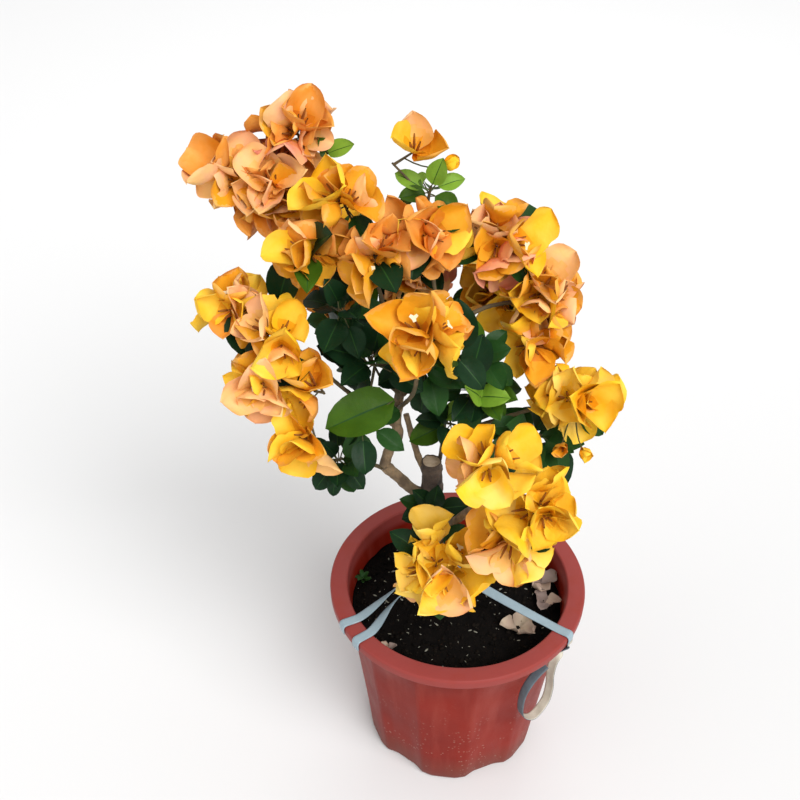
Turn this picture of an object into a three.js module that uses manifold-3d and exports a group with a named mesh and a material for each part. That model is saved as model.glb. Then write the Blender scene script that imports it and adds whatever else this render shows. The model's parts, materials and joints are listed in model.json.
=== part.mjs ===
// A potted bougainvillea: a red plastic pot with a lobed foot, potting soil, a short cut trunk with
// thin arching boughs, and masses of papery bracts and leaves. Plastic strapping is tied round the
// trunk and over the rim. Millimetres, +Z up. The origin is the middle of the pot's flat underside,
// +X is the right of the view and +Y is away from the viewer.
import * as THREE from 'three';
import { mergeVertices } from 'three/addons/utils/BufferGeometryUtils.js';
import Module from 'manifold-3d';

// Pot and soil
const potHeight = 218.5;
const rimRadius = 130;
const rimInnerRadius = 112;
const rimRound = 1.5;
const lipDrop = 11.4;
const lipBottom = potHeight - lipDrop;
const collarRadius = 119;
const collarDrop = 8;
const collarSlope = 3;
const bodyTopRadius = 113;
const bodyTop = lipBottom - lipDrop;
const wallRows = [50, 120, bodyTop];
const footRadius = 90;
const footChamfer = 3;
const potWall = 3;
const floorThickness = 5;
const lobeCount = 6;
const lobeDepth = 3.2;
const lobeFlatness = 1.5;
const lobeFade = 1.5;
const valleyAngle = 22.5;
const roundSegments = 48;
const soilLevel = 190;
const soilEdgeDrop = 5;
const soilFlatShare = 0.4;

// Clearance between neighbours that touch on the real plant
const gap = 0.3;

// Strapping. Angles are round the pot's axis, from the front towards +X.
const strapWidth = 9.5;
const strapThickness = 0.9;
const strapOff = gap + strapThickness / 2;
const strapLeftAngles = [-62, -51];
const strapRightAngle = 55;
const strapHeight = potHeight + 5;
const strapTrunkRadius = 13.1;
const strapStepsBetween = 2;
const strapEnd = 2;
const strapEase = 0.2;

// Twigs, leaves and bracts
const twigRadius = 0.95;
const stemRadius = 2.2;
const stemSides = 4;
const stemBend = 0.4;
const rootDepth = 0.3;
const leafThickness = 1.1;
const leafWidthShare = 0.78;
const leafCup = 0.08;
const leafWidestAt = 0.42;
const leafThickestAt = 0.36;
const bractLength = 34;
const bractWidth = 32;
const bractCup = 0.08;
const bractWidestAt = 0.5;
const bractWidestTurn = 0.9;
const notchOut = 0.5;
const notchRise = 0.35;
const throatDepth = 1.8;
const throatSide = [0.3, 0.2, 1];

// Room that a mass keeps: to its neighbours' space, past its own reach, and to limbs
const spaceMargin = 0.9;
const spaceSpread = 14;
const limbMargin = 1.4;
const limbClearance = 1.5 * gap;
const testGrid = 5;
const testStep = 3;

// How a mass grows. A lobe's stem runs from below to above its middle, given as shares of its reach,
// and faces the light and away from the crown's middle. What has no room is tried again at each
// pull, nearer to the lobe's middle. Ranges are a least value and how much is added to it.
const growth = {
  crownMiddle: [-50, 30, 470], outward: 0.55, outwardRise: 0.4, stemFoot: 0.3, stemTop: 0.25,
  pulls: [1, 0.75, 0.5, 0.25], leastDistance: 6, jitter: 0.25,
  blossom: {
    coverage: 1.45, toLight: 0.35, opening: [0.6, 0.4], size: [0.9, 0.25], inset: 0.72,
    stalkFrom: 1, stalkRun: 0.85, middle: 0.4, room: 29, leastBend: 0.3,
  },
  leaf: {
    coverage: 1.8, length: 38, spread: [0.8, 0.4], droop: [0.15, 0.3], inset: 0.85, overhang: 4,
    stalkFrom: 0.9, stalkRun: 0.78, middle: 0.45, room: 20,
  },
};
const goldenAngle = Math.PI * (3 - Math.sqrt(5));

// The side the light comes from, which bracts and leaves turn to
const light = new THREE.Vector3(0.05, -0.62, 0.78).normalize();

const point = (p) => new THREE.Vector3(p[0], p[1], p[2]);

const wasm = await Module();
wasm.setup();

// Material looks
const finish = (color, roughness, metalness = 0) =>
  new THREE.MeshStandardMaterial({ color, roughness, metalness, side: THREE.FrontSide });
const potPlastic = finish(0x9c3a30, 0.55);
const pottingSoil = finish(0x17120f, 0.95);
const bark = finish(0x8a6a4a, 0.85);
const oldBark = finish(0x6f5a48, 0.9);
const orangeBract = finish(0xe08a1e, 0.6);
const goldBract = finish(0xf0b014, 0.6);
const darkLeaf = finish(0x12381c, 0.5);
const freshLeaf = finish(0x3a6a1c, 0.5);
const strapPlastic = finish(0xb4c4cc, 0.4);

// A closed geometry as a solid, and back
function solidOf(geometry) {
  const bare = geometry.clone();
  bare.deleteAttribute('normal');
  bare.deleteAttribute('uv');
  const merged = mergeVertices(bare, 1e-4);
  const corners = merged.index.array;
  const kept = [];
  for (let i = 0; i < corners.length; i += 3) {
    const [a, b, c] = [corners[i], corners[i + 1], corners[i + 2]];
    if (a !== b && b !== c && c !== a) kept.push(a, b, c);
  }
  return new wasm.Manifold(new wasm.Mesh({
    numProp: 3,
    vertProperties: new Float32Array(merged.attributes.position.array),
    triVerts: new Uint32Array(kept),
  }));
}

function geometryOf(solid) {
  const mesh = solid.getMesh();
  const geometry = new THREE.BufferGeometry();
  const corners = new Float32Array(mesh.numVert * 3);
  for (let i = 0; i < mesh.numVert; i += 1) {
    for (let k = 0; k < 3; k += 1) corners[3 * i + k] = mesh.vertProperties[mesh.numProp * i + k];
  }
  geometry.setAttribute('position', new THREE.BufferAttribute(corners, 3));
  geometry.setIndex(new THREE.BufferAttribute(new Uint32Array(mesh.triVerts), 1));
  return geometry;
}

// Only the largest of the separate pieces of a solid, without loose scraps
function mainPiece(solid) {
  const pieces = solid.decompose();
  pieces.sort((a, b) => b.volume() - a.volume());
  return pieces[0];
}

const object = new THREE.Group();
function addNode(name, geometry, material) {
  const mesh = new THREE.Mesh(geometry, material);
  mesh.name = name;
  object.add(mesh);
}

// Moves a lathe's points in and out so that flat panels grow into lobes towards the foot
function addLobes(geometry) {
  const position = geometry.attributes.position;
  const valley = THREE.MathUtils.degToRad(valleyAngle);
  for (let i = 0; i < position.count; i += 1) {
    const x = position.getX(i);
    const y = position.getY(i);
    const z = position.getZ(i);
    const radius = Math.hypot(x, y);
    const isOutside = radius > footRadius - footChamfer - rimRound && z < bodyTop;
    const wave = lobeFlatness * Math.cos(lobeCount * (Math.atan2(x, -y) - valley));
    const depth = lobeDepth * Math.max(0, 1 - z / bodyTop) ** lobeFade;
    const scale = isOutside ? (radius - depth * THREE.MathUtils.clamp(wave, -1, 1)) / radius : 1;
    position.setXY(i, x * scale, y * scale);
  }
}

// Radius of the pot's outer wall and inner wall at a height
const wallRadius = (z) => footRadius + ((bodyTopRadius - footRadius) * z) / bodyTop;
function innerRadius(z) {
  const straight = Math.min(wallRadius(z) - potWall, rimInnerRadius);
  return straight - lobeDepth * (1 - z / potHeight);
}

function latheAroundZ(profile) {
  const points = profile.map(([r, z]) => new THREE.Vector2(r, z));
  const geometry = new THREE.LatheGeometry(points, roundSegments);
  geometry.rotateX(Math.PI / 2);
  return geometry;
}

function makePot() {
  const profile = [[0, 0], [footRadius - footChamfer, 0], [footRadius, footChamfer]];
  for (const z of wallRows) profile.push([wallRadius(z), z]);
  profile.push(
    [collarRadius, lipBottom - collarDrop + collarSlope], [collarRadius, lipBottom],
    [rimRadius - rimRound, lipBottom], [rimRadius, potHeight - rimRound], [rimRadius - rimRound, potHeight],
    [rimInnerRadius + rimRound, potHeight], [rimInnerRadius, potHeight - rimRound],
    [innerRadius(bodyTop), bodyTop], [innerRadius(floorThickness), floorThickness], [0, floorThickness],
  );
  const geometry = latheAroundZ(profile);
  addLobes(geometry);
  return geometry;
}

function makeSoil() {
  const bottom = floorThickness + gap;
  const edge = soilLevel - soilEdgeDrop;
  const wallGap = 1.3 * gap;
  return latheAroundZ([
    [0, bottom], [innerRadius(bottom) - wallGap, bottom], [innerRadius(edge) - wallGap, edge],
    [soilFlatShare * rimInnerRadius, soilLevel], [0, soilLevel],
  ]);
}

// A round limb along a curve, with its radius given for each share of its length
function makeLimb(curve, radiusAt, sides, steps) {
  const geometry = new THREE.CylinderGeometry(1, 1, 1, sides, steps);
  const frames = curve.computeFrenetFrames(steps, false);
  const position = geometry.attributes.position;
  for (let i = 0; i < position.count; i += 1) {
    const share = position.getY(i) + 0.5;
    const k = Math.round(share * steps);
    const radius = radiusAt(share);
    const place = curve.getPointAt(share)
      .addScaledVector(frames.normals[k], radius * position.getX(i))
      .addScaledVector(frames.binormals[k], -radius * position.getZ(i));
    position.setXYZ(i, place.x, place.y, place.z);
  }
  return solidOf(geometry);
}

const makeCurve = (points) => new THREE.CatmullRomCurve3(points.map(point), false, 'centripetal');

// The trunk: a short stump, flared at the soil, with its top cut off flat
const trunk = {
  name: 'trunk', points: [[-11, 6, soilLevel - 6], [-17, 5, 235], [-25, 4, 300], [-29, 5, 374]],
  start: 12, end: 9.3, flare: 8, flareShare: 0.2, sides: 12, steps: 9, cutAt: soilLevel + gap,
};

// Boughs: each leaves its parent at a share of the parent's length, or runs on from its tip at 1.
// The first point stands on the parent's middle line and is worked out; the others are given.
const boughs = [
  { name: 'bough_left_low', parent: 'trunk', at: 0.76, start: 5.6, end: 5.0,
    points: [[-46, 1, 341], [-60, -2, 360], [-73, -5, 377]] },
  { name: 'bough_left_high', parent: 'bough_left_low', at: 1, start: 4.9, end: 4.4,
    points: [[-69, -2, 392], [-61, 2, 405], [-62, 6, 424], [-58, 12, 455]] },
  { name: 'bough_stub', parent: 'trunk', at: 0.82, start: 3.4, end: 2.7,
    points: [[-41, 10, 374], [-47, 13, 396], [-53, 19, 419]] },
  { name: 'bough_crown_left', parent: 'bough_left_high', at: 1, start: 4.2, end: 2.8,
    points: [[-66, 18, 482], [-84, 30, 515], [-104, 46, 548]] },
  { name: 'bough_crown_right', parent: 'bough_left_high', at: 0.9, start: 3.6, end: 2.8,
    points: [[-44, 20, 457], [-30, 28, 482], [-14, 34, 508]] },
  { name: 'bough_shoot', parent: 'trunk', at: 0.84, start: 2.4, end: 1.8,
    points: [[-20, 15, 374], [-18, 20, 397], [-17, 24, 414]] },
  { name: 'bough_front', parent: 'trunk', at: 0.5, start: 5.0, end: 3.2,
    points: [[-17, -24, 318], [-8, -52, 352], [6, -72, 388]] },
];

// Masses of blossom and leaves. Each has lobes, given by centre, reach, blossoms and leaves, and a
// bough of its own that starts on a limb at a share of its length and ends where the mass begins.
const masses = [
  { name: 'blossom_top_left', from: 'bough_crown_left', at: 1, bow: [-6, 4, 4], seed: 11, tint: 'orange',
    lobes: [[-166, 98, 606, 46, 9, 2], [-146, 104, 658, 32, 4, 1], [-202, 98, 618, 34, 4, 1]] },
  { name: 'blossom_centre', from: 'bough_crown_left', at: 0.5, bow: [4, 0, 6], seed: 13, tint: 'orange',
    lobes: [[-78, 10, 588, 38, 7, 2], [-42, 26, 606, 36, 6, 2], [-104, 48, 618, 34, 5, 2],
      [-134, 30, 584, 34, 4, 4]] },
  { name: 'blossom_top_shoot', from: 'bough_crown_right', at: 0.85, bow: [-4, 8, 0], seed: 33, tint: 'gold',
    leafLength: 24, lobes: [[-34, 56, 626, 26, 0, 6], [-64, 60, 656, 24, 1, 0]] },
  { name: 'blossom_right', from: 'bough_crown_right', at: 1, bow: [4, 4, 4], seed: 16, tint: 'orange',
    lobes: [[64, 42, 538, 40, 8, 1], [24, 52, 582, 38, 7, 2], [58, 22, 496, 34, 4, 1]] },
  { name: 'blossom_front', from: 'bough_left_high', at: 0.72, bow: [6, -16, 4], seed: 17, tint: 'gold',
    lobes: [[-40, -60, 562, 35, 5, 1], [-12, -42, 528, 22, 1, 2]] },
  { name: 'blossom_left', from: 'bough_left_high', at: 0.5, bow: [-8, -6, 10], seed: 18, tint: 'orange',
    lobes: [[-160, 0, 520, 40, 6, 2], [-200, 28, 530, 34, 4, 1], [-128, -26, 480, 34, 5, 1],
      [-174, -20, 486, 34, 4, 1], [-136, -38, 440, 26, 2, 0]] },
  { name: 'blossom_far_right', from: 'bough_shoot', at: 0.7, bow: [14, 0, 6], seed: 20, tint: 'gold',
    lobes: [[92, -4, 456, 41, 9, 1]] },
  { name: 'blossom_low_right', from: 'bough_front', at: 1, bow: [2, 0, 6], seed: 21, tint: 'gold',
    lobes: [[12, -104, 468, 34, 4, 1], [56, -112, 426, 38, 6, 0], [36, -112, 390, 32, 3, 1]] },
  { name: 'blossom_low_front', from: 'bough_front', at: 0.62, bow: [0, -6, -4], seed: 22, tint: 'gold',
    lobes: [[-26, -88, 334, 42, 6, 4]] },
  { name: 'leaves_inside', from: 'bough_left_high', at: 0.86, bow: [4, -6, 4], seed: 24, tint: 'leaf',
    lobes: [[-84, -2, 492, 44, 0, 11], [-92, -36, 452, 36, 0, 4], [-36, 4, 486, 38, 0, 8],
      [-108, 14, 534, 40, 0, 9]] },
  { name: 'leaves_right', from: 'bough_shoot', at: 1, bow: [0, 0, 4], seed: 25, tint: 'fresh',
    leafLength: 31, lobes: [[12, 16, 448, 36, 0, 10], [10, 4, 494, 32, 0, 5], [-12, 16, 410, 28, 0, 6]] },
  { name: 'leaves_left_shoot', from: 'bough_left_low', at: 0.8, bow: [0, 0, 4], seed: 27, tint: 'leaf',
    leafLength: 26, lobes: [[-115, -14, 392, 28, 0, 8]] },
  { name: 'leaves_low_right', from: 'bough_front', at: 0.3, bow: [10, 8, 4], seed: 28, tint: 'leaf',
    lobes: [[62, -4, 412, 40, 0, 11]] },
  { name: 'leaves_low', from: 'trunk', at: 0.62, bow: [0, 0, 2], seed: 29, tint: 'leaf',
    leafLength: 26, lobes: [[-28, -24, 338, 27, 0, 9]] },
  { name: 'crown_back_left', from: 'bough_crown_left', at: 0.65, bow: [0, 8, 0], seed: 30, tint: 'orange',
    lobes: [[-122, 122, 520, 48, 7, 5], [-104, 98, 470, 36, 0, 6]] },
  { name: 'crown_back', from: 'bough_crown_right', at: 0.3, bow: [0, 8, 0], seed: 31, tint: 'orange',
    lobes: [[-44, 128, 512, 48, 7, 5], [-50, 94, 456, 36, 0, 6]] },
  { name: 'crown_back_right', from: 'bough_crown_right', at: 0.55, bow: [0, 8, 0], seed: 32, tint: 'gold',
    lobes: [[34, 118, 488, 46, 7, 5]] },
];

// A flat band given by places on its middle line, each with the way its width lies
function makeBand(keys) {
  const middle = new THREE.CatmullRomCurve3(keys.map((key) => key[0]), false, 'centripetal');
  const across = new THREE.CatmullRomCurve3(keys.map((key) => key[1]), false, 'centripetal');
  const steps = (keys.length - 1) * strapStepsBetween;
  const geometry = new THREE.BoxGeometry(strapWidth, 1, strapThickness, 1, steps, 1);
  const position = geometry.attributes.position;
  for (let i = 0; i < position.count; i += 1) {
    const share = position.getY(i) + 0.5;
    const along = middle.getTangent(share);
    const wide = across.getPoint(share).projectOnPlane(along).normalize();
    const thin = new THREE.Vector3().crossVectors(wide, along);
    const place = middle.getPoint(share)
      .addScaledVector(wide, position.getX(i))
      .addScaledVector(thin, position.getZ(i));
    position.setXYZ(i, place.x, place.y, place.z);
  }
  return geometry;
}

function onRing(degrees, radius, z) {
  const turn = THREE.MathUtils.degToRad(degrees);
  return new THREE.Vector3(radius * Math.sin(turn), -radius * Math.cos(turn), z);
}
const alongRing = (degrees) => onRing(degrees + 90, 1, 0);
const awayFromAxis = (degrees) => onRing(degrees, 1, 0);

// Over the rim at an angle, from the outside of the lip to above the soil
function crossRim(degrees) {
  const top = potHeight + strapOff;
  const outside = rimRadius + strapOff;
  const places = [
    [outside, lipBottom + strapEnd], [outside + strapEase, potHeight - rimRound],
    [rimRadius - rimRound / 2, top + 2 * strapEase],
    [(rimRadius + rimInnerRadius) / 2, top + strapEase / 2],
    [rimInnerRadius - rimRound, top + strapEase / 2],
  ];
  return places.map(([radius, z]) => [onRing(degrees, radius, z), alongRing(degrees)]);
}

// Round the trunk at an angle, standing on edge, with a drop below the strap's height
function passTrunk(degrees, drop = 0) {
  const [foot, above] = trunk.points.map(point);
  const middle = foot.lerp(above, (strapHeight - foot.z) / (above.z - foot.z));
  const place = middle.add(onRing(degrees, strapTrunkRadius, -drop));
  return [place, new THREE.Vector3(0, 0, 1)];
}

// One strand runs over the left of the rim, behind the trunk and over the right of the rim
const makeLongStrand = () => makeBand([
  ...crossRim(strapLeftAngles[0]),
  [point([-60, -14, potHeight + 3.5]), point([0.3, -0.4, 0.85])],
  ...[-125, -150, 180, 150, 125].map((degrees) => passTrunk(degrees)),
  [point([24, -16, potHeight + 4.5]), point([0.5, 0.8, 0.35])],
  ...crossRim(strapRightAngle).reverse(),
]);

// A second strand runs over the left of the rim to the front of the trunk
const makeShortStrand = () => makeBand([
  ...crossRim(strapLeftAngles[1]),
  [point([-62, -30, potHeight + 2]), point([0.3, -0.4, 0.8])],
  ...[-55, -25, 5].map((degrees) => passTrunk(degrees, 3)),
  [point([8, -15, potHeight + 0.5]), point([0.4, 0.7, 0.6])],
]);

// On the right the strand's end turns in under the lip, hangs in a loop and comes back up to the
// lip. Each place is an angle, a radius and a height above the lip's lower edge.
function makeStrapLoop() {
  const turningIn = [
    [strapRightAngle, rimRadius + strapOff, strapEnd - gap],
    [strapRightAngle, rimRadius + strapOff, -strapEnd],
    [52.5, 127.5, -5.6],
  ];
  const hanging = [
    [49.5, 123, -17], [48, 121.8, -37], [49, 121.5, -61], [46.5, 121.5, -79], [38, 121.5, -87],
    [31, 121.5, -73], [29.8, 121.5, -53], [31, 122.5, -33], [35, 123.5, -18], [41, 125, -8],
  ];
  const place = ([degrees, radius, rise]) => onRing(degrees, radius, lipBottom + rise);
  return makeBand([
    ...turningIn.map((row) => [place(row), alongRing(row[0])]),
    ...hanging.map((row) => [place(row), awayFromAxis(row[0])]),
  ]);
}

const limbs = new Map();
let limbsSoFar = null;

// Cuts a limb clear of the limbs made before it and keeps what reaches its tip
function addLimb(limb, material) {
  const curve = makeCurve(limb.points);
  const radiusAt = (share) => {
    const flare = limb.flare ? limb.flare * Math.max(0, 1 - share / limb.flareShare) ** 2 : 0;
    return limb.start + (limb.end - limb.start) * share + flare;
  };
  const { sides = 8, steps = 6 } = limb;
  let solid = makeLimb(curve, radiusAt, sides, steps);
  const grown = makeLimb(curve, (share) => radiusAt(share) + limbClearance, sides, steps);
  if (limb.cutAt) {
    const below = new THREE.BoxGeometry(soilLevel, soilLevel, soilLevel);
    below.translate(0, 0, limb.cutAt - soilLevel / 2);
    solid = solid.subtract(solidOf(below));
  }
  if (limbsSoFar) solid = mainPiece(solid.subtract(limbsSoFar));
  limbsSoFar = limbsSoFar ? limbsSoFar.add(grown) : grown;
  limbs.set(limb.name, { ...limb, curve, radiusAt });
  addNode(limb.name, geometryOf(solid), material);
}

// The first point of a limb: on its parent's middle line, or just past the parent's tip
function startPoint(parentName, at) {
  const { curve } = limbs.get(parentName);
  const tip = curve.getPointAt(at);
  return at < 1 ? tip : tip.addScaledVector(curve.getTangentAt(1), gap);
}

// Seeded random numbers from 0 to 1
function makeRandom(seed) {
  let state = (seed * 7919) >>> 0;
  return () => {
    state = (Math.imul(state, 1664525) + 1013904223) >>> 0;
    return state / 4294967296;
  };
}

// A mass is held by a bough from its limb to where its first lobe begins
const massBough = { start: 2.1, end: 1.7, sides: 6, steps: 4, endShare: 0.62 };
function addMassBough(mass) {
  const start = startPoint(mass.from, mass.at);
  const hub = point(mass.lobes[0]);
  const reach = mass.lobes[0][3];
  const tip = hub.clone().lerp(start, (massBough.endShare * reach) / hub.distanceTo(start));
  const middle = start.clone().lerp(tip, 0.5).add(point(mass.bow));
  const points = [start, middle, tip].map((place) => place.toArray());
  addLimb({ ...massBough, name: `bough_to_${mass.name}`, points }, bark);
}

const lobeOf = ([x, y, z, reach]) => ({ centre: new THREE.Vector3(x, y, z), reach });
const allLobes = masses.flatMap((mass) => mass.lobes.map((row) => ({ mass: mass.name, ...lobeOf(row) })));

function nearestOwn(place, own) {
  return own.reduce((best, lobe) => {
    const power = place.distanceToSquared(lobe.centre) - lobe.reach ** 2;
    return power < best.power ? { power, lobe } : best;
  }, { power: Infinity, lobe: null });
}

// True where a place is in a mass's own space, clear of the planes to the other masses' lobes
function isInside(place, mass, own) {
  const { power, lobe } = nearestOwn(place, own);
  if (place.distanceTo(lobe.centre) > lobe.reach + spaceSpread) return false;
  for (const other of allLobes) {
    if (other.mass === mass.name) continue;
    const otherPower = place.distanceToSquared(other.centre) - other.reach ** 2;
    const toPlane = (otherPower - power) / (2 * lobe.centre.distanceTo(other.centre));
    if (toPlane < spaceMargin) return false;
  }
  return true;
}

function isClearOfLimbs(place) {
  for (const limb of limbs.values()) {
    for (let k = 0; k < limb.samples.length; k += 1) {
      const { at, radius } = limb.samples[k];
      const reach = radius + limb.sampleGap / 2 + limbMargin;
      if (place.distanceToSquared(at) < reach ** 2) return false;
    }
  }
  const overPot = Math.hypot(place.x, place.y) < rimRadius + 6;
  return !(overPot && place.z < potHeight + 8);
}

function sampleLimbs() {
  for (const limb of limbs.values()) {
    limb.samples = [];
    const count = Math.ceil(limb.curve.getLength() / testStep);
    for (let k = 0; k <= count; k += 1) {
      limb.samples.push({ at: limb.curve.getPointAt(k / count), radius: limb.radiusAt(k / count) });
    }
    limb.sampleGap = limb.curve.getLength() / count;
  }
}

// A closed body from its corners and its faces
function makeBody(corners, faces) {
  const geometry = new THREE.BufferGeometry();
  const flat = corners.flatMap((p) => p.toArray());
  geometry.setAttribute('position', new THREE.BufferAttribute(new Float32Array(flat), 3));
  geometry.setIndex(faces.flat());
  return solidOf(geometry);
}

// The corners of a twig's three-sided section: one below, and two above at its right and left
function sectionAt(place, way, up) {
  const right = new THREE.Vector3().crossVectors(way, up).normalize();
  const top = new THREE.Vector3().crossVectors(right, way);
  return [-90, 30, 150].map((degrees) => {
    const around = THREE.MathUtils.degToRad(degrees);
    return place.clone()
      .addScaledVector(right, twigRadius * Math.cos(around))
      .addScaledVector(top, twigRadius * Math.sin(around));
  });
}

// A leaf's outline: its root, its two sides, bent up, and its tip
function leafOutline({ base, direction, length, width, cup }) {
  const right = new THREE.Vector3().crossVectors(direction, light).normalize();
  const up = new THREE.Vector3().crossVectors(right, direction);
  const wide = base.clone().addScaledVector(direction, leafWidestAt * length);
  const side = (way) => wide.clone()
    .addScaledVector(right, (way * width) / 2)
    .addScaledVector(up, cup * width);
  return [base, side(1), base.clone().addScaledVector(direction, length), side(-1)];
}

// A leaf and its stalk in one closed body of eighteen faces. The stalk's foot is sunk in its stem.
function makeLeaf(leaf) {
  const { base, direction, length, start } = leaf;
  const right = new THREE.Vector3().crossVectors(direction, light).normalize();
  const up = new THREE.Vector3().crossVectors(right, direction);
  const way = base.clone().sub(start).normalize();
  const foot = sectionAt(start.clone().addScaledVector(way, -rootDepth), way, up);
  const neck = sectionAt(base, way.add(direction).normalize(), up);
  const middle = base.clone().addScaledVector(direction, leafThickestAt * length);
  const over = middle.clone().addScaledVector(up, leafThickness / 2);
  const under = middle.clone().addScaledVector(up, -leafThickness / 2);
  const [, rightSide, tip, leftSide] = leafOutline(leaf);
  const corners = [...foot, ...neck, rightSide, tip, leftSide, over, under];
  const faces = [[0, 1, 2]];
  for (let k = 0; k < 3; k += 1) {
    const next = (k + 1) % 3;
    faces.push([k, 3 + next, next], [k, 3 + k, 3 + next]);
  }
  faces.push([4, 6, 9], [6, 7, 9], [7, 8, 9], [8, 5, 9], [5, 4, 9]);
  faces.push([6, 4, 10], [4, 3, 10], [3, 5, 10], [5, 8, 10], [8, 7, 10], [7, 6, 10]);
  return makeBody(corners, faces);
}

// A blossom's outline: round its axis go the side, tip and side of each of three bracts, and the
// low point between two bracts
function blossomOutline({ base, axis, turn, opening, size }) {
  const side = new THREE.Vector3().crossVectors(axis, point(throatSide)).normalize();
  const third = new THREE.Vector3().crossVectors(axis, side);
  const length = bractLength * size;
  const halfWidth = (bractWidth * size) / 2;
  const place = (around, out, rise) => base.clone()
    .addScaledVector(side, out * Math.cos(around))
    .addScaledVector(third, out * Math.sin(around))
    .addScaledVector(axis, rise);
  const wideOut = bractWidestAt * length * Math.sin(opening);
  const wideRise = bractWidestAt * length * Math.cos(opening) + bractCup * length;
  const sideTurn = Math.min(Math.atan2(halfWidth, wideOut), bractWidestTurn);
  const sideOut = Math.hypot(wideOut, halfWidth);
  const outline = [];
  for (let k = 0; k < 3; k += 1) {
    const around = turn + (k * 2 * Math.PI) / 3;
    outline.push(
      place(around - sideTurn, sideOut, wideRise),
      place(around, length * Math.sin(opening), length * Math.cos(opening)),
      place(around + sideTurn, sideOut, wideRise),
      place(around + Math.PI / 3, notchOut * sideOut, notchRise * wideRise),
    );
  }
  return outline;
}

// A blossom and its stalk in one closed body: the outline's twelve edges rise from the throat, and
// below they come together on the stalk's three corners, one under each bract
function makeBlossom(blossom) {
  const { base, axis, start } = blossom;
  const outline = blossomOutline(blossom);
  const low = base.clone().addScaledVector(axis, -throatDepth);
  const way = base.clone().sub(start).normalize();
  const ring = (place) => [1, 5, 9].map((tip) => {
    const out = outline[tip].clone().sub(base).projectOnPlane(axis).normalize();
    return place.clone().addScaledVector(out, twigRadius);
  });
  const foot = ring(start.clone().addScaledVector(way, -rootDepth));
  const corners = [...outline, base.clone().addScaledVector(axis, throatDepth), ...ring(low), ...foot];
  const [throat, firstNeck, firstFoot] = [12, 13, 16];
  const faces = [[firstFoot, firstFoot + 2, firstFoot + 1]];
  for (let k = 0; k < outline.length; k += 1) {
    const next = (k + 1) % outline.length;
    const neck = firstNeck + Math.floor(k / 4);
    const nextNeck = firstNeck + Math.floor(next / 4);
    faces.push([k, next, throat], [next, k, neck]);
    if (nextNeck !== neck) faces.push([next, neck, nextNeck]);
  }
  for (let k = 0; k < 3; k += 1) {
    const next = (k + 1) % 3;
    faces.push([firstFoot + k, firstFoot + next, firstNeck + next]);
    faces.push([firstFoot + k, firstNeck + next, firstNeck + k]);
  }
  return makeBody(corners, faces);
}

// A flat-faced body is free where points all over it are
function isOutlineFree(outline, middle, mass, own) {
  for (let k = 0; k < outline.length; k += 1) {
    const one = outline[k].clone().sub(middle);
    const two = outline[(k + 1) % outline.length].clone().sub(middle);
    for (let i = 0; i <= testGrid; i += 1) {
      for (let j = 0; j <= testGrid - i; j += 1) {
        const place = middle.clone()
          .addScaledVector(one, i / testGrid)
          .addScaledVector(two, j / testGrid);
        if (!isInside(place, mass, own) || !isClearOfLimbs(place)) return false;
      }
    }
  }
  return true;
}

function isTwigFree(start, end, mass, own) {
  const count = Math.ceil(start.distanceTo(end) / testStep);
  for (let k = 0; k <= count; k += 1) {
    const place = start.clone().lerp(end, k / count);
    if (!isInside(place, mass, own) || !isClearOfLimbs(place)) return false;
  }
  return true;
}

// A stem starts square to its bough's tip, bends towards its end and runs on a little way past it
function makeStem({ start, end, tangent }) {
  const run = end.clone().sub(start).normalize().multiplyScalar(stemRadius / 2);
  const bend = tangent ?? end.clone().sub(start).normalize();
  const first = tangent ? start : start.clone().sub(run);
  const control = start.clone().addScaledVector(bend, stemBend * start.distanceTo(end));
  const curve = new THREE.QuadraticBezierCurve3(first, control, end.clone().add(run));
  return makeLimb(curve, () => stemRadius, stemSides, tangent ? 2 : 1);
}

// Directions spread evenly over the part of a ball that faces a way, the same for each seed
function spreadDirection(index, count, facing, coverage, turn, random) {
  const fall = 1 - (coverage * (index + 0.5)) / count;
  const around = index * goldenAngle + turn;
  const ring = Math.sqrt(Math.max(0, 1 - fall * fall));
  const side = new THREE.Vector3(0, 0, 1).cross(facing).normalize();
  const third = new THREE.Vector3().crossVectors(facing, side);
  const jitter = new THREE.Vector3(random() - 0.5, random() - 0.5, random() - 0.5);
  return facing.clone().multiplyScalar(fall)
    .addScaledVector(side, ring * Math.cos(around))
    .addScaledVector(third, ring * Math.sin(around))
    .addScaledVector(jitter, growth.jitter)
    .normalize();
}

const fromRange = ([least, more], random) => least + more * random();

// A lobe's stem, from its foot to its top, and the way the lobe faces
function makeLobeStem({ centre, reach }) {
  const outward = centre.clone().sub(point(growth.crownMiddle));
  outward.setZ(growth.outwardRise * outward.z).normalize();
  const facing = outward.multiplyScalar(growth.outward).add(light).normalize();
  const foot = centre.clone().addScaledVector(facing, -growth.stemFoot * reach);
  const top = centre.clone().addScaledVector(facing, growth.stemTop * reach);
  return { centre, reach, facing, foot, top };
}

const stalkStart = (stem, rule, index, count) =>
  stem.foot.clone().lerp(stem.top, rule.stalkFrom - (rule.stalkRun * (index + 0.5)) / count);

// A blossom of a lobe, and a leaf of a lobe, before their distance from its middle is settled
function drawBlossom(stem, index, count, turn, random) {
  const rule = growth.blossom;
  const way = spreadDirection(index, count, stem.facing, rule.coverage, turn, random);
  return {
    way,
    axis: way.clone().addScaledVector(light, rule.toLight).normalize(),
    turn: 2 * Math.PI * random(),
    opening: fromRange(rule.opening, random),
    size: fromRange(rule.size, random),
    start: stalkStart(stem, rule, index, count),
    distance: Math.max(growth.leastDistance, stem.reach - rule.inset * bractLength),
  };
}

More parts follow.
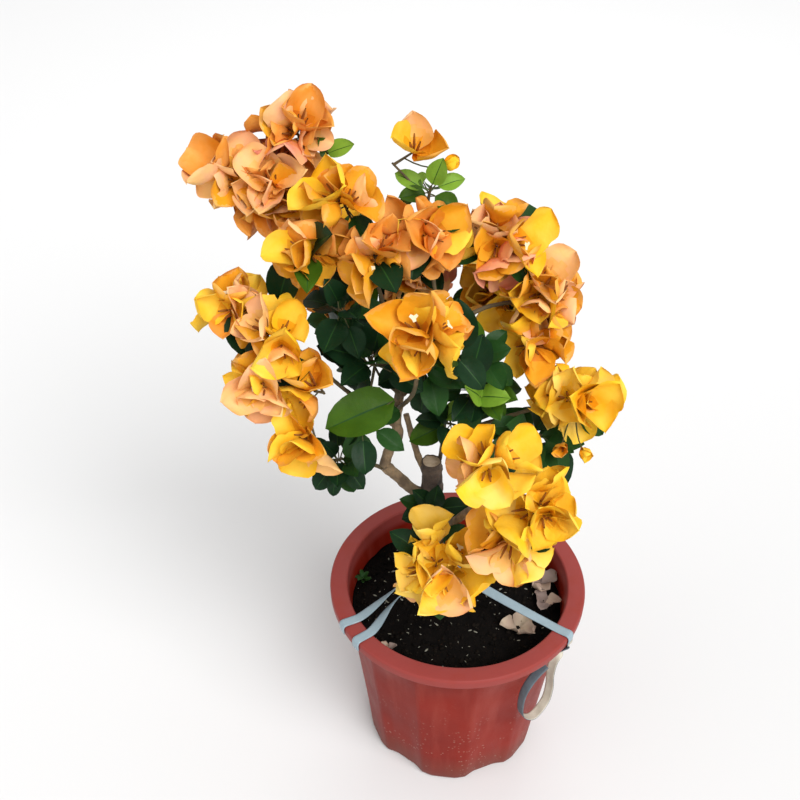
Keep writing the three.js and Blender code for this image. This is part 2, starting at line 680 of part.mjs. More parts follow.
function drawLeaf(stem, index, count, turn, random, leafLength) {
  const rule = growth.leaf;
  const way = spreadDirection(index, count, stem.facing, rule.coverage, turn, random);
  const length = leafLength * fromRange(rule.spread, random);
  const down = new THREE.Vector3(0, 0, -fromRange(rule.droop, random));
  return {
    way,
    direction: way.clone().add(down).normalize(),
    length,
    width: leafWidthShare * length,
    cup: leafCup,
    start: stalkStart(stem, rule, index, count),
    distance: Math.max(growth.leastDistance, stem.reach + rule.overhang - rule.inset * length),
  };
}

// Where a mass's stems, blossoms and leaves stand. The random draws come in a fixed order, also for
// what is then skipped because it would leave the mass's space, touch a limb or crowd another.
function growMass(mass) {
  const random = makeRandom(mass.seed);
  const own = mass.lobes.map(lobeOf);
  const { curve } = limbs.get(`bough_to_${mass.name}`);
  const tangent = curve.getTangentAt(1);
  const entry = curve.getPointAt(1).addScaledVector(tangent, gap);
  const [stems, blossoms, leaves, middles] = [[], [], [], []];
  const hasRoom = (middle, room) => middles.every((other) => other.distanceTo(middle) >= room);
  const isBlossomFree = (blossom, middle) => {
    const { base, axis, start } = blossom;
    const bend = base.clone().sub(start).normalize().dot(axis);
    return bend >= growth.blossom.leastBend && hasRoom(middle, growth.blossom.room)
      && isOutlineFree(blossomOutline(blossom), base, mass, own) && isTwigFree(start, base, mass, own);
  };
  const isLeafFree = (leaf, middle) => hasRoom(middle, growth.leaf.room)
    && isOutlineFree(leafOutline(leaf), middle, mass, own) && isTwigFree(leaf.start, leaf.base, mass, own);
  const settle = (drawn, centre, ahead, isFree, kept) => {
    for (const pull of growth.pulls) {
      const base = centre.clone().addScaledVector(drawn.way, drawn.distance * pull);
      const middle = base.clone().add(ahead);
      if (isFree({ ...drawn, base }, middle)) {
        kept.push({ ...drawn, base });
        middles.push(middle);
        return;
      }
    }
  };
  let stemStart = entry;
  mass.lobes.forEach((row, lobeIndex) => {
    const stem = makeLobeStem(own[lobeIndex]);
    const [blossomCount, leafCount] = [row[4], row[5]];
    stems.push({ start: stemStart, end: stem.foot, tangent: lobeIndex === 0 ? tangent : null });
    stems.push({ start: stem.foot, end: stem.top });
    stemStart = lobeIndex === 0 ? stem.foot : stemStart;
    const blossomTurn = 2 * Math.PI * random();
    for (let k = 0; k < blossomCount; k += 1) {
      const drawn = drawBlossom(stem, k, blossomCount, blossomTurn, random);
      const ahead = drawn.axis.clone().multiplyScalar(growth.blossom.middle * bractLength);
      settle(drawn, stem.centre, ahead, isBlossomFree, blossoms);
    }
    const leafTurn = 2 * Math.PI * random();
    for (let k = 0; k < leafCount; k += 1) {
      const drawn = drawLeaf(stem, k, leafCount, leafTurn, random, mass.leafLength ?? growth.leaf.length);
      const ahead = drawn.direction.clone().multiplyScalar(growth.leaf.middle * drawn.length);
      settle(drawn, stem.centre, ahead, isLeafFree, leaves);
    }
  });
  return { stems, blossoms, leaves };
}

const tintOf = { orange: orangeBract, gold: goldBract, leaf: darkLeaf, fresh: freshLeaf };

const scrapSize = 0.02;
function addMass(mass) {
  const { stems, blossoms, leaves } = growMass(mass);
  const pieces = [...stems.map(makeStem), ...blossoms.map(makeBlossom), ...leaves.map(makeLeaf)];
  const joined = mainPiece(wasm.Manifold.union(pieces).subtract(limbsSoFar)).simplify(scrapSize);
  addNode(mass.name, geometryOf(joined), tintOf[mass.tint]);
}

addNode('pot', makePot(), potPlastic);
addNode('soil', makeSoil(), pottingSoil);
addNode('strap_long', makeLongStrand(), strapPlastic);
addNode('strap_short', makeShortStrand(), strapPlastic);
addNode('strap_loop', makeStrapLoop(), strapPlastic);
addLimb(trunk, oldBark);
for (const bough of boughs) {
  const first = startPoint(bough.parent, bough.at).toArray();
  addLimb({ ...bough, points: [first, ...bough.points] }, bark);
}
masses.forEach(addMassBough);
sampleLimbs();
masses.forEach(addMass);

export default object;
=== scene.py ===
import json
import math

import bmesh
import bpy
import numpy as np
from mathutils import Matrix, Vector, noise

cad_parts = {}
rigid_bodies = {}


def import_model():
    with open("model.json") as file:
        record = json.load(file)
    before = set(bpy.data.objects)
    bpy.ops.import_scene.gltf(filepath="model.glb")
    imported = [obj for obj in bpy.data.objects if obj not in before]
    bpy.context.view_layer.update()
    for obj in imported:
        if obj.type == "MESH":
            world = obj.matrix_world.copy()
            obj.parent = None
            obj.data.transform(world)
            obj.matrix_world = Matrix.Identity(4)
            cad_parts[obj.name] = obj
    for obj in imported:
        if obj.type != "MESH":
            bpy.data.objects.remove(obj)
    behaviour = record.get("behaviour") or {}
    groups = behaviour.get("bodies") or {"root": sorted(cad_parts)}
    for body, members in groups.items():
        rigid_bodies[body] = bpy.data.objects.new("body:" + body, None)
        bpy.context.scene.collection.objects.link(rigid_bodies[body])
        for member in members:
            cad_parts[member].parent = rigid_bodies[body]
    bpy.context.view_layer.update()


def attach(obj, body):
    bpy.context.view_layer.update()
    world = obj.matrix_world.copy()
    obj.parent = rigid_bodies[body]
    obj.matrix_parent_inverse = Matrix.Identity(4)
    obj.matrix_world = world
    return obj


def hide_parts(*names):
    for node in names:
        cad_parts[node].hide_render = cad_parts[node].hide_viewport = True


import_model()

mm = 0.001


# small helpers

def unit(v):
    v = np.asarray(v, float)
    return v / np.linalg.norm(v, axis=-1, keepdims=True)


def makeRandom(seed):
    state = (seed * 7919) & 0xFFFFFFFF

    def draw():
        nonlocal state
        state = (state * 1664525 + 1013904223) & 0xFFFFFFFF
        return state / 4294967296

    return draw


def pick(span, random):
    # span is the least value, and how far above it the draw may go
    return span[0] + span[1] * random()


def outAt(side, third, around):
    return math.cos(around) * side + math.sin(around) * third


def addPiece(name, mesh, materials, slot, *nodes):
    piece = bpy.data.objects.new(name, mesh)
    bpy.context.scene.collection.objects.link(piece)
    for material in materials:
        mesh.materials.append(material)
    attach(piece, "root")
    if nodes:
        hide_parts(*nodes)
    return piece


def meshFrom(bm, name):
    mesh = bpy.data.meshes.new(name)
    bm.to_mesh(mesh)
    bm.free()
    mesh.shade_smooth()
    return mesh


def shapeOf(bm):
    # its points and faces as arrays
    bm.verts.index_update()
    places = np.array([vert.co[:] for vert in bm.verts])
    faces = np.array([[vert.index for vert in face.verts] for face in bm.faces])
    bm.free()
    return places, faces


def spinProfile(bm, rows, turns):
    # rows: radius and height in metres, turned round the pot's axis
    verts = [bm.verts.new((r, 0, z)) for r, z in rows]
    edges = [bm.edges.new(pair) for pair in zip(verts, verts[1:])]
    bmesh.ops.spin(bm, geom=verts + edges, cent=(0, 0, 0), axis=(0, 0, 1), angle=2 * math.pi,
                   steps=turns, use_merge=True)
    bmesh.ops.remove_doubles(bm, verts=bm.verts, dist=1e-6)


# nodes of materials

def feedSocket(tree, socket, value):
    if isinstance(value, bpy.types.NodeSocket):
        tree.links.new(value, socket)
    elif socket.type == "RGBA":
        socket.default_value = (*value, 1)
    else:
        socket.default_value = value


def feed(tree, node, **inputs):
    # each input is a constant or another node's output; _ stands for a space in its name
    for label, value in inputs.items():
        feedSocket(tree, node.inputs[label.replace("_", " ")], value)


def addNode(tree, kind, settings=None, **inputs):
    node = tree.nodes.new("ShaderNode" + kind)
    for name, value in (settings or {}).items():
        setattr(node, name, value)
    feed(tree, node, **inputs)
    return node


def calculate(tree, operation, *values):
    node = addNode(tree, "Math", {"operation": operation})
    for socket, value in zip(node.inputs, values):
        feedSocket(tree, socket, value)
    return node.outputs["Value"]


def mixColors(tree, mask, one, other):
    return addNode(tree, "Mix", {"data_type": "RGBA"}, Factor=mask, A=one, B=other).outputs["Result"]


def objectPlace(tree):
    return addNode(tree, "TexCoord").outputs["Object"]


def newMaterial(name, **inputs):
    material = bpy.data.materials.new(name)
    material.use_nodes = True
    tree = material.node_tree
    shader = tree.nodes["Principled BSDF"]
    feed(tree, shader, **inputs)
    return material, tree, shader


# camera, floor and soft studio light

# places are in metres; each lamp has its name, place, size and power
viewer = {"place": (-0.0586, -0.772, 1.0582), "tiltDown": 38.2, "lens": 49.5, "sensor": 36, "nearest": 0.02}
studio = {"floorRadius": 9, "floorColor": (0.78, 0.78, 0.78), "floorRoughness": 0.9, "world": 0.52,
          "key": {"place": (1.1, -1.8, 2.5), "strength": 2.8, "softness": 40},
          "lamps": [("fill", (-1.8, -1.0, 1.6), 1.8, 6), ("back", (0.3, 2.0, 2.2), 1.8, 12)],
          "aim": (-0.03, 0, 0.42)}


def makeCamera():
    data = bpy.data.cameras.new("camera")
    data.lens = viewer["lens"]
    data.sensor_width = viewer["sensor"]
    data.clip_start = viewer["nearest"]
    camera = bpy.data.objects.new("camera", data)
    camera.location = viewer["place"]
    camera.rotation_euler = (math.radians(90 - viewer["tiltDown"]), 0, 0)
    bpy.context.scene.collection.objects.link(camera)
    bpy.context.scene.camera = camera


def placeLamp(data, place):
    lamp = bpy.data.objects.new(data.name, data)
    lamp.location = place
    toAim = Vector(studio["aim"]) - Vector(place)
    lamp.rotation_euler = toAim.to_track_quat("-Z", "Y").to_euler()
    bpy.context.scene.collection.objects.link(lamp)


def makeLights():
    world = bpy.data.worlds.new("studio")
    world.use_nodes = True
    backdrop = world.node_tree.nodes["Background"]
    feed(world.node_tree, backdrop, Color=(1, 1, 1), Strength=studio["world"])
    bpy.context.scene.world = world
    bpy.context.scene.view_settings.view_transform = "Standard"  # keeps the bracts' strong colours
    key = bpy.data.lights.new("key", "SUN")
    key.energy = studio["key"]["strength"]
    key.angle = math.radians(studio["key"]["softness"])
    placeLamp(key, studio["key"]["place"])
    for name, place, size, watts in studio["lamps"]:
        data = bpy.data.lights.new(name, "AREA")
        data.shape = "DISK"
        data.size = size
        data.energy = watts
        placeLamp(data, place)


def makeFloor():
    bm = bmesh.new()
    bmesh.ops.create_circle(bm, cap_ends=True, radius=studio["floorRadius"], segments=64)
    floor = bpy.data.objects.new("floor", meshFrom(bm, "floor"))
    bpy.context.scene.collection.objects.link(floor)
    material, _, _ = newMaterial("floor", Base_Color=studio["floorColor"], Roughness=studio["floorRoughness"])
    floor.data.materials.append(material)


makeCamera()
makeLights()
makeFloor()
print("camera, floor and lights are set")


# effects that several finishes share: mottling and specks

def newGroup(name, inputs, outputs):
    group = bpy.data.node_groups.new(name, "ShaderNodeTree")
    for label, kind, value in inputs:
        socket = group.interface.new_socket(label, in_out="INPUT", socket_type="NodeSocket" + kind)
        socket.default_value = value
    for label, kind in outputs:
        group.interface.new_socket(label, in_out="OUTPUT", socket_type="NodeSocket" + kind)
    return group, group.nodes.new("NodeGroupInput").outputs, group.nodes.new("NodeGroupOutput")


def makeMottleGroup():
    # two colours mixed by soft noise, with a fine relief
    group, given, result = newGroup("mottle", [
        ("Color", "Color", (0.5, 0.5, 0.5, 1)), ("Other Color", "Color", (0.3, 0.3, 0.3, 1)),
        ("Vector", "Vector", (0, 0, 0)), ("Scale", "Float", 60), ("Amount", "Float", 0.5),
        ("Relief Scale", "Float", 400), ("Relief", "Float", 0.2)],
        [("Color", "Color"), ("Normal", "Vector")])
    patches = addNode(group, "TexNoise", Vector=given["Vector"], Scale=given["Scale"], Detail=4)
    mask = addNode(group, "MapRange", Value=patches.outputs["Fac"], From_Min=0.35, From_Max=0.65,
                   To_Max=given["Amount"]).outputs["Result"]
    fine = addNode(group, "TexNoise", Vector=given["Vector"], Scale=given["Relief Scale"], Detail=3)
    bump = addNode(group, "Bump", Strength=given["Relief"], Distance=0.001, Height=fine.outputs["Fac"])
    feed(group, result, Color=mixColors(group, mask, given["Color"], given["Other Color"]),
         Normal=bump.outputs["Normal"])
    return group


def makeSpeckGroup():
    # small spots: 1 inside a spot, 0 outside, with soft clumping
    group, given, result = newGroup("specks", [
        ("Vector", "Vector", (0, 0, 0)), ("Scale", "Float", 200), ("Size", "Float", 0.2),
        ("Clump Scale", "Float", 25), ("Clump", "Float", 0.5)],
        [("Mask", "Float")])
    cells = addNode(group, "TexVoronoi", Vector=given["Vector"], Scale=given["Scale"])
    spot = calculate(group, "LESS_THAN", cells.outputs["Distance"], given["Size"])
    clumps = addNode(group, "TexNoise", Vector=given["Vector"], Scale=given["Clump Scale"], Detail=3)
    inClump = calculate(group, "GREATER_THAN", clumps.outputs["Fac"], given["Clump"])
    feed(group, result, Mask=calculate(group, "MULTIPLY", spot, inClump))
    return group


mottleGroup = makeMottleGroup()
speckGroup = makeSpeckGroup()
print("shared effects are made")


def addMottle(tree, color, other, scale, amount, reliefScale, relief):
    # patches of the other colour by scale and amount, and a relief by scale and strength
    return addNode(tree, "Group", {"node_tree": mottleGroup}, Vector=objectPlace(tree), Color=color,
                   Other_Color=other, Scale=scale, Amount=amount, Relief_Scale=reliefScale, Relief=relief)


def mottledMaterial(name, color, other, scale, amount, reliefScale, relief, roughness, **inputs):
    material, tree, shader = newMaterial(name, Roughness=roughness, **inputs)
    mottle = addMottle(tree, color, other, scale, amount, reliefScale, relief)
    feed(tree, shader, Base_Color=mottle.outputs["Color"], Normal=mottle.outputs["Normal"])
    return material


# curves: the same smooth curve through given points as the solids follow

class Curve:
    def __init__(self, points):
        self.points = np.asarray(points, float)
        self.shares = np.linspace(0, 1, 201)
        samples = self.at(self.shares)
        steps = np.linalg.norm(np.diff(samples, axis=0), axis=1)
        self.lengths = np.concatenate([[0], np.cumsum(steps)])
        self.length = self.lengths[-1]

    def at(self, share):
        share = np.atleast_1d(share)
        p = self.points
        last = len(p) - 1
        place = share * last
        index = np.minimum(place.astype(int), last - 1)
        t = (place - index)[:, None]
        before = np.where((index > 0)[:, None], p[np.maximum(index - 1, 0)], 2 * p[0] - p[1])
        one, two = p[index], p[index + 1]
        after = np.where((index < last - 1)[:, None], p[np.minimum(index + 2, last)], 2 * p[-1] - p[-2])
        d0, d1, d2 = [np.maximum(np.linalg.norm(b - a, axis=1, keepdims=True) ** 0.5, 1e-4)
                      for a, b in ((before, one), (one, two), (two, after))]
        m1 = d1 * ((one - before) / d0 - (two - before) / (d0 + d1) + (two - one) / d1)
        m2 = d1 * ((two - one) / d1 - (after - one) / (d1 + d2) + (after - two) / d2)
        c2 = -3 * one + 3 * two - 2 * m1 - m2
        c3 = 2 * one - 2 * two + m1 + m2
        return one + m1 * t + c2 * t ** 2 + c3 * t ** 3

    def evenly(self, share):
        # share of the length, not of the points
        return self.at(np.interp(np.atleast_1d(share) * self.length, self.lengths, self.shares))

    def way(self, share):
        t = np.interp(share * self.length, self.lengths, self.shares)
        return unit(self.at(min(t + 1e-4, 1)) - self.at(max(t - 1e-4, 0)))[0]


# limbs: trunk, boughs and the thin boughs that hold the masses, in millimetres

soilLevel = 190.0
gap = 0.3
trunk = {"name": "trunk", "points": [[-11, 6, soilLevel - 6], [-17, 5, 235], [-25, 4, 300], [-29, 5, 374]],
         "start": 12, "end": 9.3, "flare": 8, "flareShare": 0.2}
boughs = [
    {"name": "bough_left_low", "parent": "trunk", "at": 0.76, "start": 5.6, "end": 5.0,
     "points": [[-46, 1, 341], [-60, -2, 360], [-73, -5, 377]]},
    {"name": "bough_left_high", "parent": "bough_left_low", "at": 1, "start": 4.9, "end": 4.4,
     "points": [[-69, -2, 392], [-61, 2, 405], [-62, 6, 424], [-58, 12, 455]]},
    {"name": "bough_stub", "parent": "trunk", "at": 0.82, "start": 3.4, "end": 2.7,
     "points": [[-41, 10, 374], [-47, 13, 396], [-53, 19, 419]]},
    {"name": "bough_crown_left", "parent": "bough_left_high", "at": 1, "start": 4.2, "end": 2.8,
     "points": [[-66, 18, 482], [-84, 30, 515], [-104, 46, 548]]},
    {"name": "bough_crown_right", "parent": "bough_left_high", "at": 0.9, "start": 3.6, "end": 2.8,
     "points": [[-44, 20, 457], [-30, 28, 482], [-14, 34, 508]]},
    {"name": "bough_shoot", "parent": "trunk", "at": 0.84, "start": 2.4, "end": 1.8,
     "points": [[-20, 15, 374], [-18, 20, 397], [-17, 24, 414]]},
    {"name": "bough_front", "parent": "trunk", "at": 0.5, "start": 5.0, "end": 3.2,
     "points": [[-17, -24, 318], [-8, -52, 352], [6, -72, 388]]}]

# tints of bracts and leaves with their weights
sunny = {"gold": 6, "paleGold": 3, "amber": 2}
warm = {"amber": 6, "orange": 4, "gold": 1, "peach": 1}
blushed = {"orange": 5, "amber": 3, "peach": 3, "pink": 1}
plainGreen = {"dark": 3, "mid": 3, "bright": 1}

# masses: each lobe has its centre, its reach, and the solids' count of blossoms and of leaves
masses = [
    {"name": "blossom_top_left", "from": "bough_crown_left", "at": 1, "bow": [-6, 4, 4], "seed": 11,
     "tints": blushed, "lobes": [[-166, 98, 606, 46, 9, 2], [-146, 104, 658, 32, 4, 1],
                                 [-202, 98, 618, 34, 4, 1]]},
    {"name": "blossom_centre", "from": "bough_crown_left", "at": 0.5, "bow": [4, 0, 6], "seed": 13,
     "tints": warm, "lobes": [[-78, 10, 588, 38, 7, 2], [-42, 26, 606, 36, 6, 2], [-104, 48, 618, 34, 5, 2],
                              [-134, 30, 584, 34, 4, 4]]},
    {"name": "blossom_top_shoot", "from": "bough_crown_right", "at": 0.85, "bow": [-4, 8, 0], "seed": 33,
     "tints": {"amber": 4, "gold": 1}, "leafTints": {"bright": 3, "young": 2}, "leafLength": 24,
     "finerBlossoms": 0, "buds": [[-24, 62, 648]],
     "lobes": [[-34, 56, 626, 26, 0, 6], [-64, 60, 656, 24, 1, 0]]},
    {"name": "blossom_right", "from": "bough_crown_right", "at": 1, "bow": [4, 4, 4], "seed": 16,
     "tints": {"gold": 3, "amber": 4, "orange": 1, "peach": 3, "pink": 1},
     "lobes": [[64, 42, 538, 40, 8, 1], [24, 52, 582, 38, 7, 2], [58, 22, 496, 34, 4, 1]]},
    {"name": "blossom_front", "from": "bough_left_high", "at": 0.72, "bow": [6, -16, 4], "seed": 17,
     "tints": {"amber": 6, "gold": 3, "orange": 1}, "finerBlossoms": 1.6,
     "lobes": [[-40, -60, 562, 35, 5, 1], [-12, -42, 528, 22, 1, 2]]},
    {"name": "blossom_left", "from": "bough_left_high", "at": 0.5, "bow": [-8, -6, 10], "seed": 18,
     "tints": {"amber": 4, "gold": 4, "orange": 2, "peach": 2},
     "lobes": [[-160, 0, 520, 40, 6, 2], [-200, 28, 530, 34, 4, 1], [-128, -26, 480, 34, 5, 1],
               [-174, -20, 486, 34, 4, 1], [-136, -38, 440, 26, 2, 0]]},
    {"name": "blossom_far_right", "from": "bough_shoot", "at": 0.7, "bow": [14, 0, 6], "seed": 20,
     "tints": sunny, "buds": [[84, -36, 430], [102, -34, 424]], "lobes": [[92, -4, 456, 41, 9, 1]]},
    {"name": "blossom_low_right", "from": "bough_front", "at": 1, "bow": [2, 0, 6], "seed": 21,
     "tints": {"gold": 5, "paleGold": 2, "amber": 1, "peach": 3}, "finerBlossoms": 2,
     "lobes": [[12, -104, 468, 34, 4, 1], [56, -112, 426, 38, 6, 0], [36, -112, 390, 32, 3, 1]]},
    {"name": "blossom_low_front", "from": "bough_front", "at": 0.62, "bow": [0, -6, -4], "seed": 22,
     "tints": {"gold": 4, "paleGold": 6, "peach": 0.6}, "lobes": [[-26, -88, 334, 42, 6, 4]]},
    {"name": "leaves_inside", "from": "bough_left_high", "at": 0.86, "bow": [4, -6, 4], "seed": 24,
     "leafTints": {"dark": 6, "mid": 3}, "lobes": [[-84, -2, 492, 44, 0, 11], [-92, -36, 452, 36, 0, 4],
                                                   [-36, 4, 486, 38, 0, 8], [-108, 14, 534, 40, 0, 9]]},
    {"name": "leaves_right", "from": "bough_shoot", "at": 1, "bow": [0, 0, 4], "seed": 25,
     "leafTints": {"mid": 4, "bright": 2, "young": 1, "dark": 3}, "leafLength": 31,
     "lobes": [[12, 16, 448, 36, 0, 10], [10, 4, 494, 32, 0, 5], [-12, 16, 410, 28, 0, 6]]},
    {"name": "leaves_left_shoot", "from": "bough_left_low", "at": 0.8, "bow": [0, 0, 4], "seed": 27,
     "leafTints": {"dark": 5, "mid": 2}, "leafLength": 26, "lobes": [[-115, -14, 392, 28, 0, 8]]},
    {"name": "leaves_low_right", "from": "bough_front", "at": 0.3, "bow": [10, 8, 4], "seed": 28,
     "leafTints": {"dark": 5, "mid": 4}, "lobes": [[62, -4, 412, 40, 0, 11]]},
    {"name": "leaves_low", "from": "trunk", "at": 0.62, "bow": [0, 0, 2], "seed": 29,
     "leafTints": {"dark": 6, "mid": 1}, "leafLength": 26, "lobes": [[-28, -24, 338, 27, 0, 9]]},
    {"name": "crown_back_left", "from": "bough_crown_left", "at": 0.65, "bow": [0, 8, 0], "seed": 30,
     "tints": warm, "lobes": [[-122, 122, 520, 48, 7, 5], [-104, 98, 470, 36, 0, 6]]},
    {"name": "crown_back", "from": "bough_crown_right", "at": 0.3, "bow": [0, 8, 0], "seed": 31,
     "tints": blushed, "lobes": [[-44, 128, 512, 48, 7, 5], [-50, 94, 456, 36, 0, 6]]},
    {"name": "crown_back_right", "from": "bough_crown_right", "at": 0.55, "bow": [0, 8, 0], "seed": 32,
     "tints": sunny, "lobes": [[34, 118, 488, 46, 7, 5]]}]
massBough = {"start": 2.1, "end": 1.7, "endShare": 0.62}
limbs = {}


def addLimb(limb):
    curve = Curve(limb["points"])

    def radiusAt(share):
        share = np.asarray(share, float)
        foot = limb.get("flare", 0) * np.maximum(0, 1 - share / limb.get("flareShare", 1)) ** 2
        return limb["start"] + (limb["end"] - limb["start"]) * share + foot

    limbs[limb["name"]] = {**limb, "curve": curve, "radiusAt": radiusAt}


def startPoint(parent, at):
    curve = limbs[parent]["curve"]
    if at < 1:
        return curve.evenly(at)[0]
    return curve.evenly(1)[0] + gap * curve.way(1)


def addMassBough(mass):
    start = startPoint(mass["from"], mass["at"])
    hub = np.array(mass["lobes"][0][:3], float)
    share = massBough["endShare"] * mass["lobes"][0][3] / np.linalg.norm(hub - start)
    tip = hub + (start - hub) * share
    middle = (start + tip) / 2 + mass["bow"]
    addLimb({**massBough, "name": "bough_to_" + mass["name"], "points": [start, middle, tip]})


addLimb(trunk)
for bough in boughs:
    addLimb({**bough, "points": [startPoint(bough["parent"], bough["at"]), *bough["points"]]})
for mass in masses:
    addMassBough(mass)

# bark in millimetres: lumps, ridges along the limb, fine grain, and a swelling at each node
relief = {"nodeSpacing": 24, "firstNode": 0.6, "nodeSwell": 0.13, "nodeWidth": 2.6, "stepLength": 1.6,
          "lumpScale": 0.055, "ridgeScale": 0.42, "ridgeStretch": 0.18, "grainScale": 0.7, "endDepth": 0.3}
bark = {"trunk": {"sides": 36, "lump": 0.9, "ridge": 0.75, "grain": 0.25, "cutRim": 1.1, "cutDish": 0.5},
        "bough": {"sides": 16, "lump": 0.45, "ridge": 0.3, "grain": 0.14, "cutRim": 0.5, "cutDish": 0.3},
        "thinBough": {"sides": 10, "lump": 0.45, "ridge": 0.3, "grain": 0.14}}
youngBark = mottledMaterial("young_bark", (0.15, 0.11, 0.055), (0.08, 0.065, 0.03), 90, 0.8, 700, 0.5, 0.75)
tanBark = mottledMaterial("tan_bark", (0.32, 0.225, 0.13), (0.12, 0.082, 0.05), 75, 0.95, 420, 1.6, 0.85)
greyBark = mottledMaterial("grey_bark", (0.135, 0.095, 0.07), (0.04, 0.028, 0.022), 60, 0.95, 300, 2.2, 0.9)
cutWood = mottledMaterial("cut_wood", (0.56, 0.44, 0.32), (0.28, 0.19, 0.12), 110, 0.85, 500, 0.6, 0.85)


def limbRadii(limb, along):
    radii = limb["radiusAt"](along / limb["curve"].length)
    first = relief["firstNode"] * relief["nodeSpacing"]
    for node in np.arange(first, limb["curve"].length, relief["nodeSpacing"]):
        radii = radii + relief["nodeSwell"] * radii * np.exp(-((along - node) / relief["nodeWidth"]) ** 2)
    return radii


def limbTube(limb, sides):
    # a smooth tube with caps, from a curve with its radius at each point
    curve = limb["curve"]
    steps = max(4, int(curve.length / relief["stepLength"]))
    along = np.linspace(0, curve.length, steps + 1)
    places = curve.evenly(along / curve.length)
    data = bpy.data.curves.new(limb["name"], "CURVE")
    data.dimensions = "3D"
    data.bevel_depth = mm
    data.bevel_resolution = (sides - 4) // 2
    data.use_fill_caps = True
    spline = data.splines.new("POLY")
    spline.points.add(steps)
    spline.points.foreach_set("co", np.hstack([places * mm, np.ones((steps + 1, 1))]).ravel())
    spline.points.foreach_set("radius", limbRadii(limb, along))
    holder = bpy.data.objects.new(limb["name"], data)
    bpy.context.scene.collection.objects.link(holder)
    bpy.context.view_layer.update()
    mesh = bpy.data.meshes.new_from_object(holder.evaluated_get(bpy.context.evaluated_depsgraph_get()))
    bpy.data.objects.remove(holder)
    bm = bmesh.new()
    bm.from_mesh(mesh)
    bpy.data.meshes.remove(mesh)
    bmesh.ops.remove_doubles(bm, verts=bm.verts, dist=1e-6)
    return bm


def markEnds(bm, curve):
    # each end becomes one face, which takes the second material
    reach = relief["endDepth"] * relief["stepLength"] * mm
    for share in (0, 1):
        place, way = Vector(curve.evenly(share)[0]) * mm, Vector(curve.way(share))
        across = [face for face in bm.faces
                  if all(abs((vert.co - place).dot(way)) < reach for vert in face.verts)]
        bmesh.ops.dissolve_faces(bm, faces=across)
    bm.normal_update()
    for face in bm.faces:
        face.material_index = 1 if len(face.verts) > 6 else 0


def carveBark(bm, carve):
    carved = {}
    for vert in bm.verts:
        place = vert.co / mm
        stretched = Vector((place.x, place.y, relief["ridgeStretch"] * place.z))
        depth = carve["lump"] * noise.noise(place * relief["lumpScale"])
        depth += carve["ridge"] * noise.noise(stretched * relief["ridgeScale"])
        depth += carve["grain"] * noise.noise(place * relief["grainScale"])
        carved[vert] = vert.co + vert.normal * depth * mm
    for vert, place in carved.items():
        vert.co = place


def dressCuts(bm, carve):
    # a sawn end: a rim of bark, and a paler face that sinks a little
    cuts = [face for face in bm.faces if face.material_index == 1]
    known = set(bm.faces)
    bmesh.ops.inset_individual(bm, faces=cuts, thickness=carve["cutRim"] * mm, depth=-carve["cutDish"] * mm)
    for face in bm.faces:
        if face not in known:
            face.material_index = 0
    centres = bmesh.ops.poke(bm, faces=[face for face in cuts if face.is_valid])["verts"]
    for vert in centres:
        vert.co -= vert.normal * carve["cutDish"] * mm / 2


def limbShape(name, carve):
    limb = limbs[name]
    bm = limbTube(limb, carve["sides"])
    markEnds(bm, limb["curve"])
    carveBark(bm, carve)
    if "cutRim" in carve:
        dressCuts(bm, carve)
    return bm


def joinShapes(shapes, name):
    whole = bmesh.new()
    for bm in shapes:
        part = bpy.data.meshes.new("part")
        bm.to_mesh(part)
        bm.free()
        whole.from_mesh(part)
        bpy.data.meshes.remove(part)
    return meshFrom(whole, name)


def makeTrunk():
    mesh = meshFrom(limbShape("trunk", bark["trunk"]), "trunk_bark")
    addPiece("trunk_bark", mesh, [greyBark, cutWood], "old_bark", "trunk")


def makeBoughs():
    names = [bough["name"] for bough in boughs]
    mesh = joinShapes([limbShape(name, bark["bough"]) for name in names], "bough_bark")
    addPiece("bough_bark", mesh, [tanBark, cutWood], "bark", *names)


def makeThinBoughs():
    names = ["bough_to_" + mass["name"] for mass in masses]
    mesh = joinShapes([limbShape(name, bark["thinBough"]) for name in names], "thin_boughs")
    addPiece("thin_boughs", mesh, [youngBark, youngBark], "bark", *names)


makeTrunk()
makeBoughs()
makeThinBoughs()
print("trunk and boughs are made")


# where foliage may grow: each mass keeps to its own space and clear of limbs and pot

space = {"spread": 14, "testStep": 3, "testGrid": 5}
pot = {"rimRadius": 130, "height": 218.5, "keepOff": 6, "keepAbove": 8}
light = unit([0.05, -0.62, 0.78])
goldenAngle = math.pi * (3 - math.sqrt(5))
growth = {
    "crownMiddle": np.array([-50.0, 30, 470]), "outward": 0.55, "outwardRise": 0.4, "stemFoot": 0.3,
    "stemTop": 0.25, "leastDistance": 6, "jitter": 0.25,
    "blossom": {"coverage": 1.45, "toLight": 0.35, "opening": (0.6, 0.4), "stalkFrom": 1, "stalkRun": 0.85,
                "middle": 0.4},
    "leaf": {"coverage": 1.8, "length": 38, "spread": (0.8, 0.4), "droop": (0.15, 0.3), "inset": 0.85,
             "overhang": 4, "stalkFrom": 0.9, "stalkRun": 0.78, "middle": 0.45}}
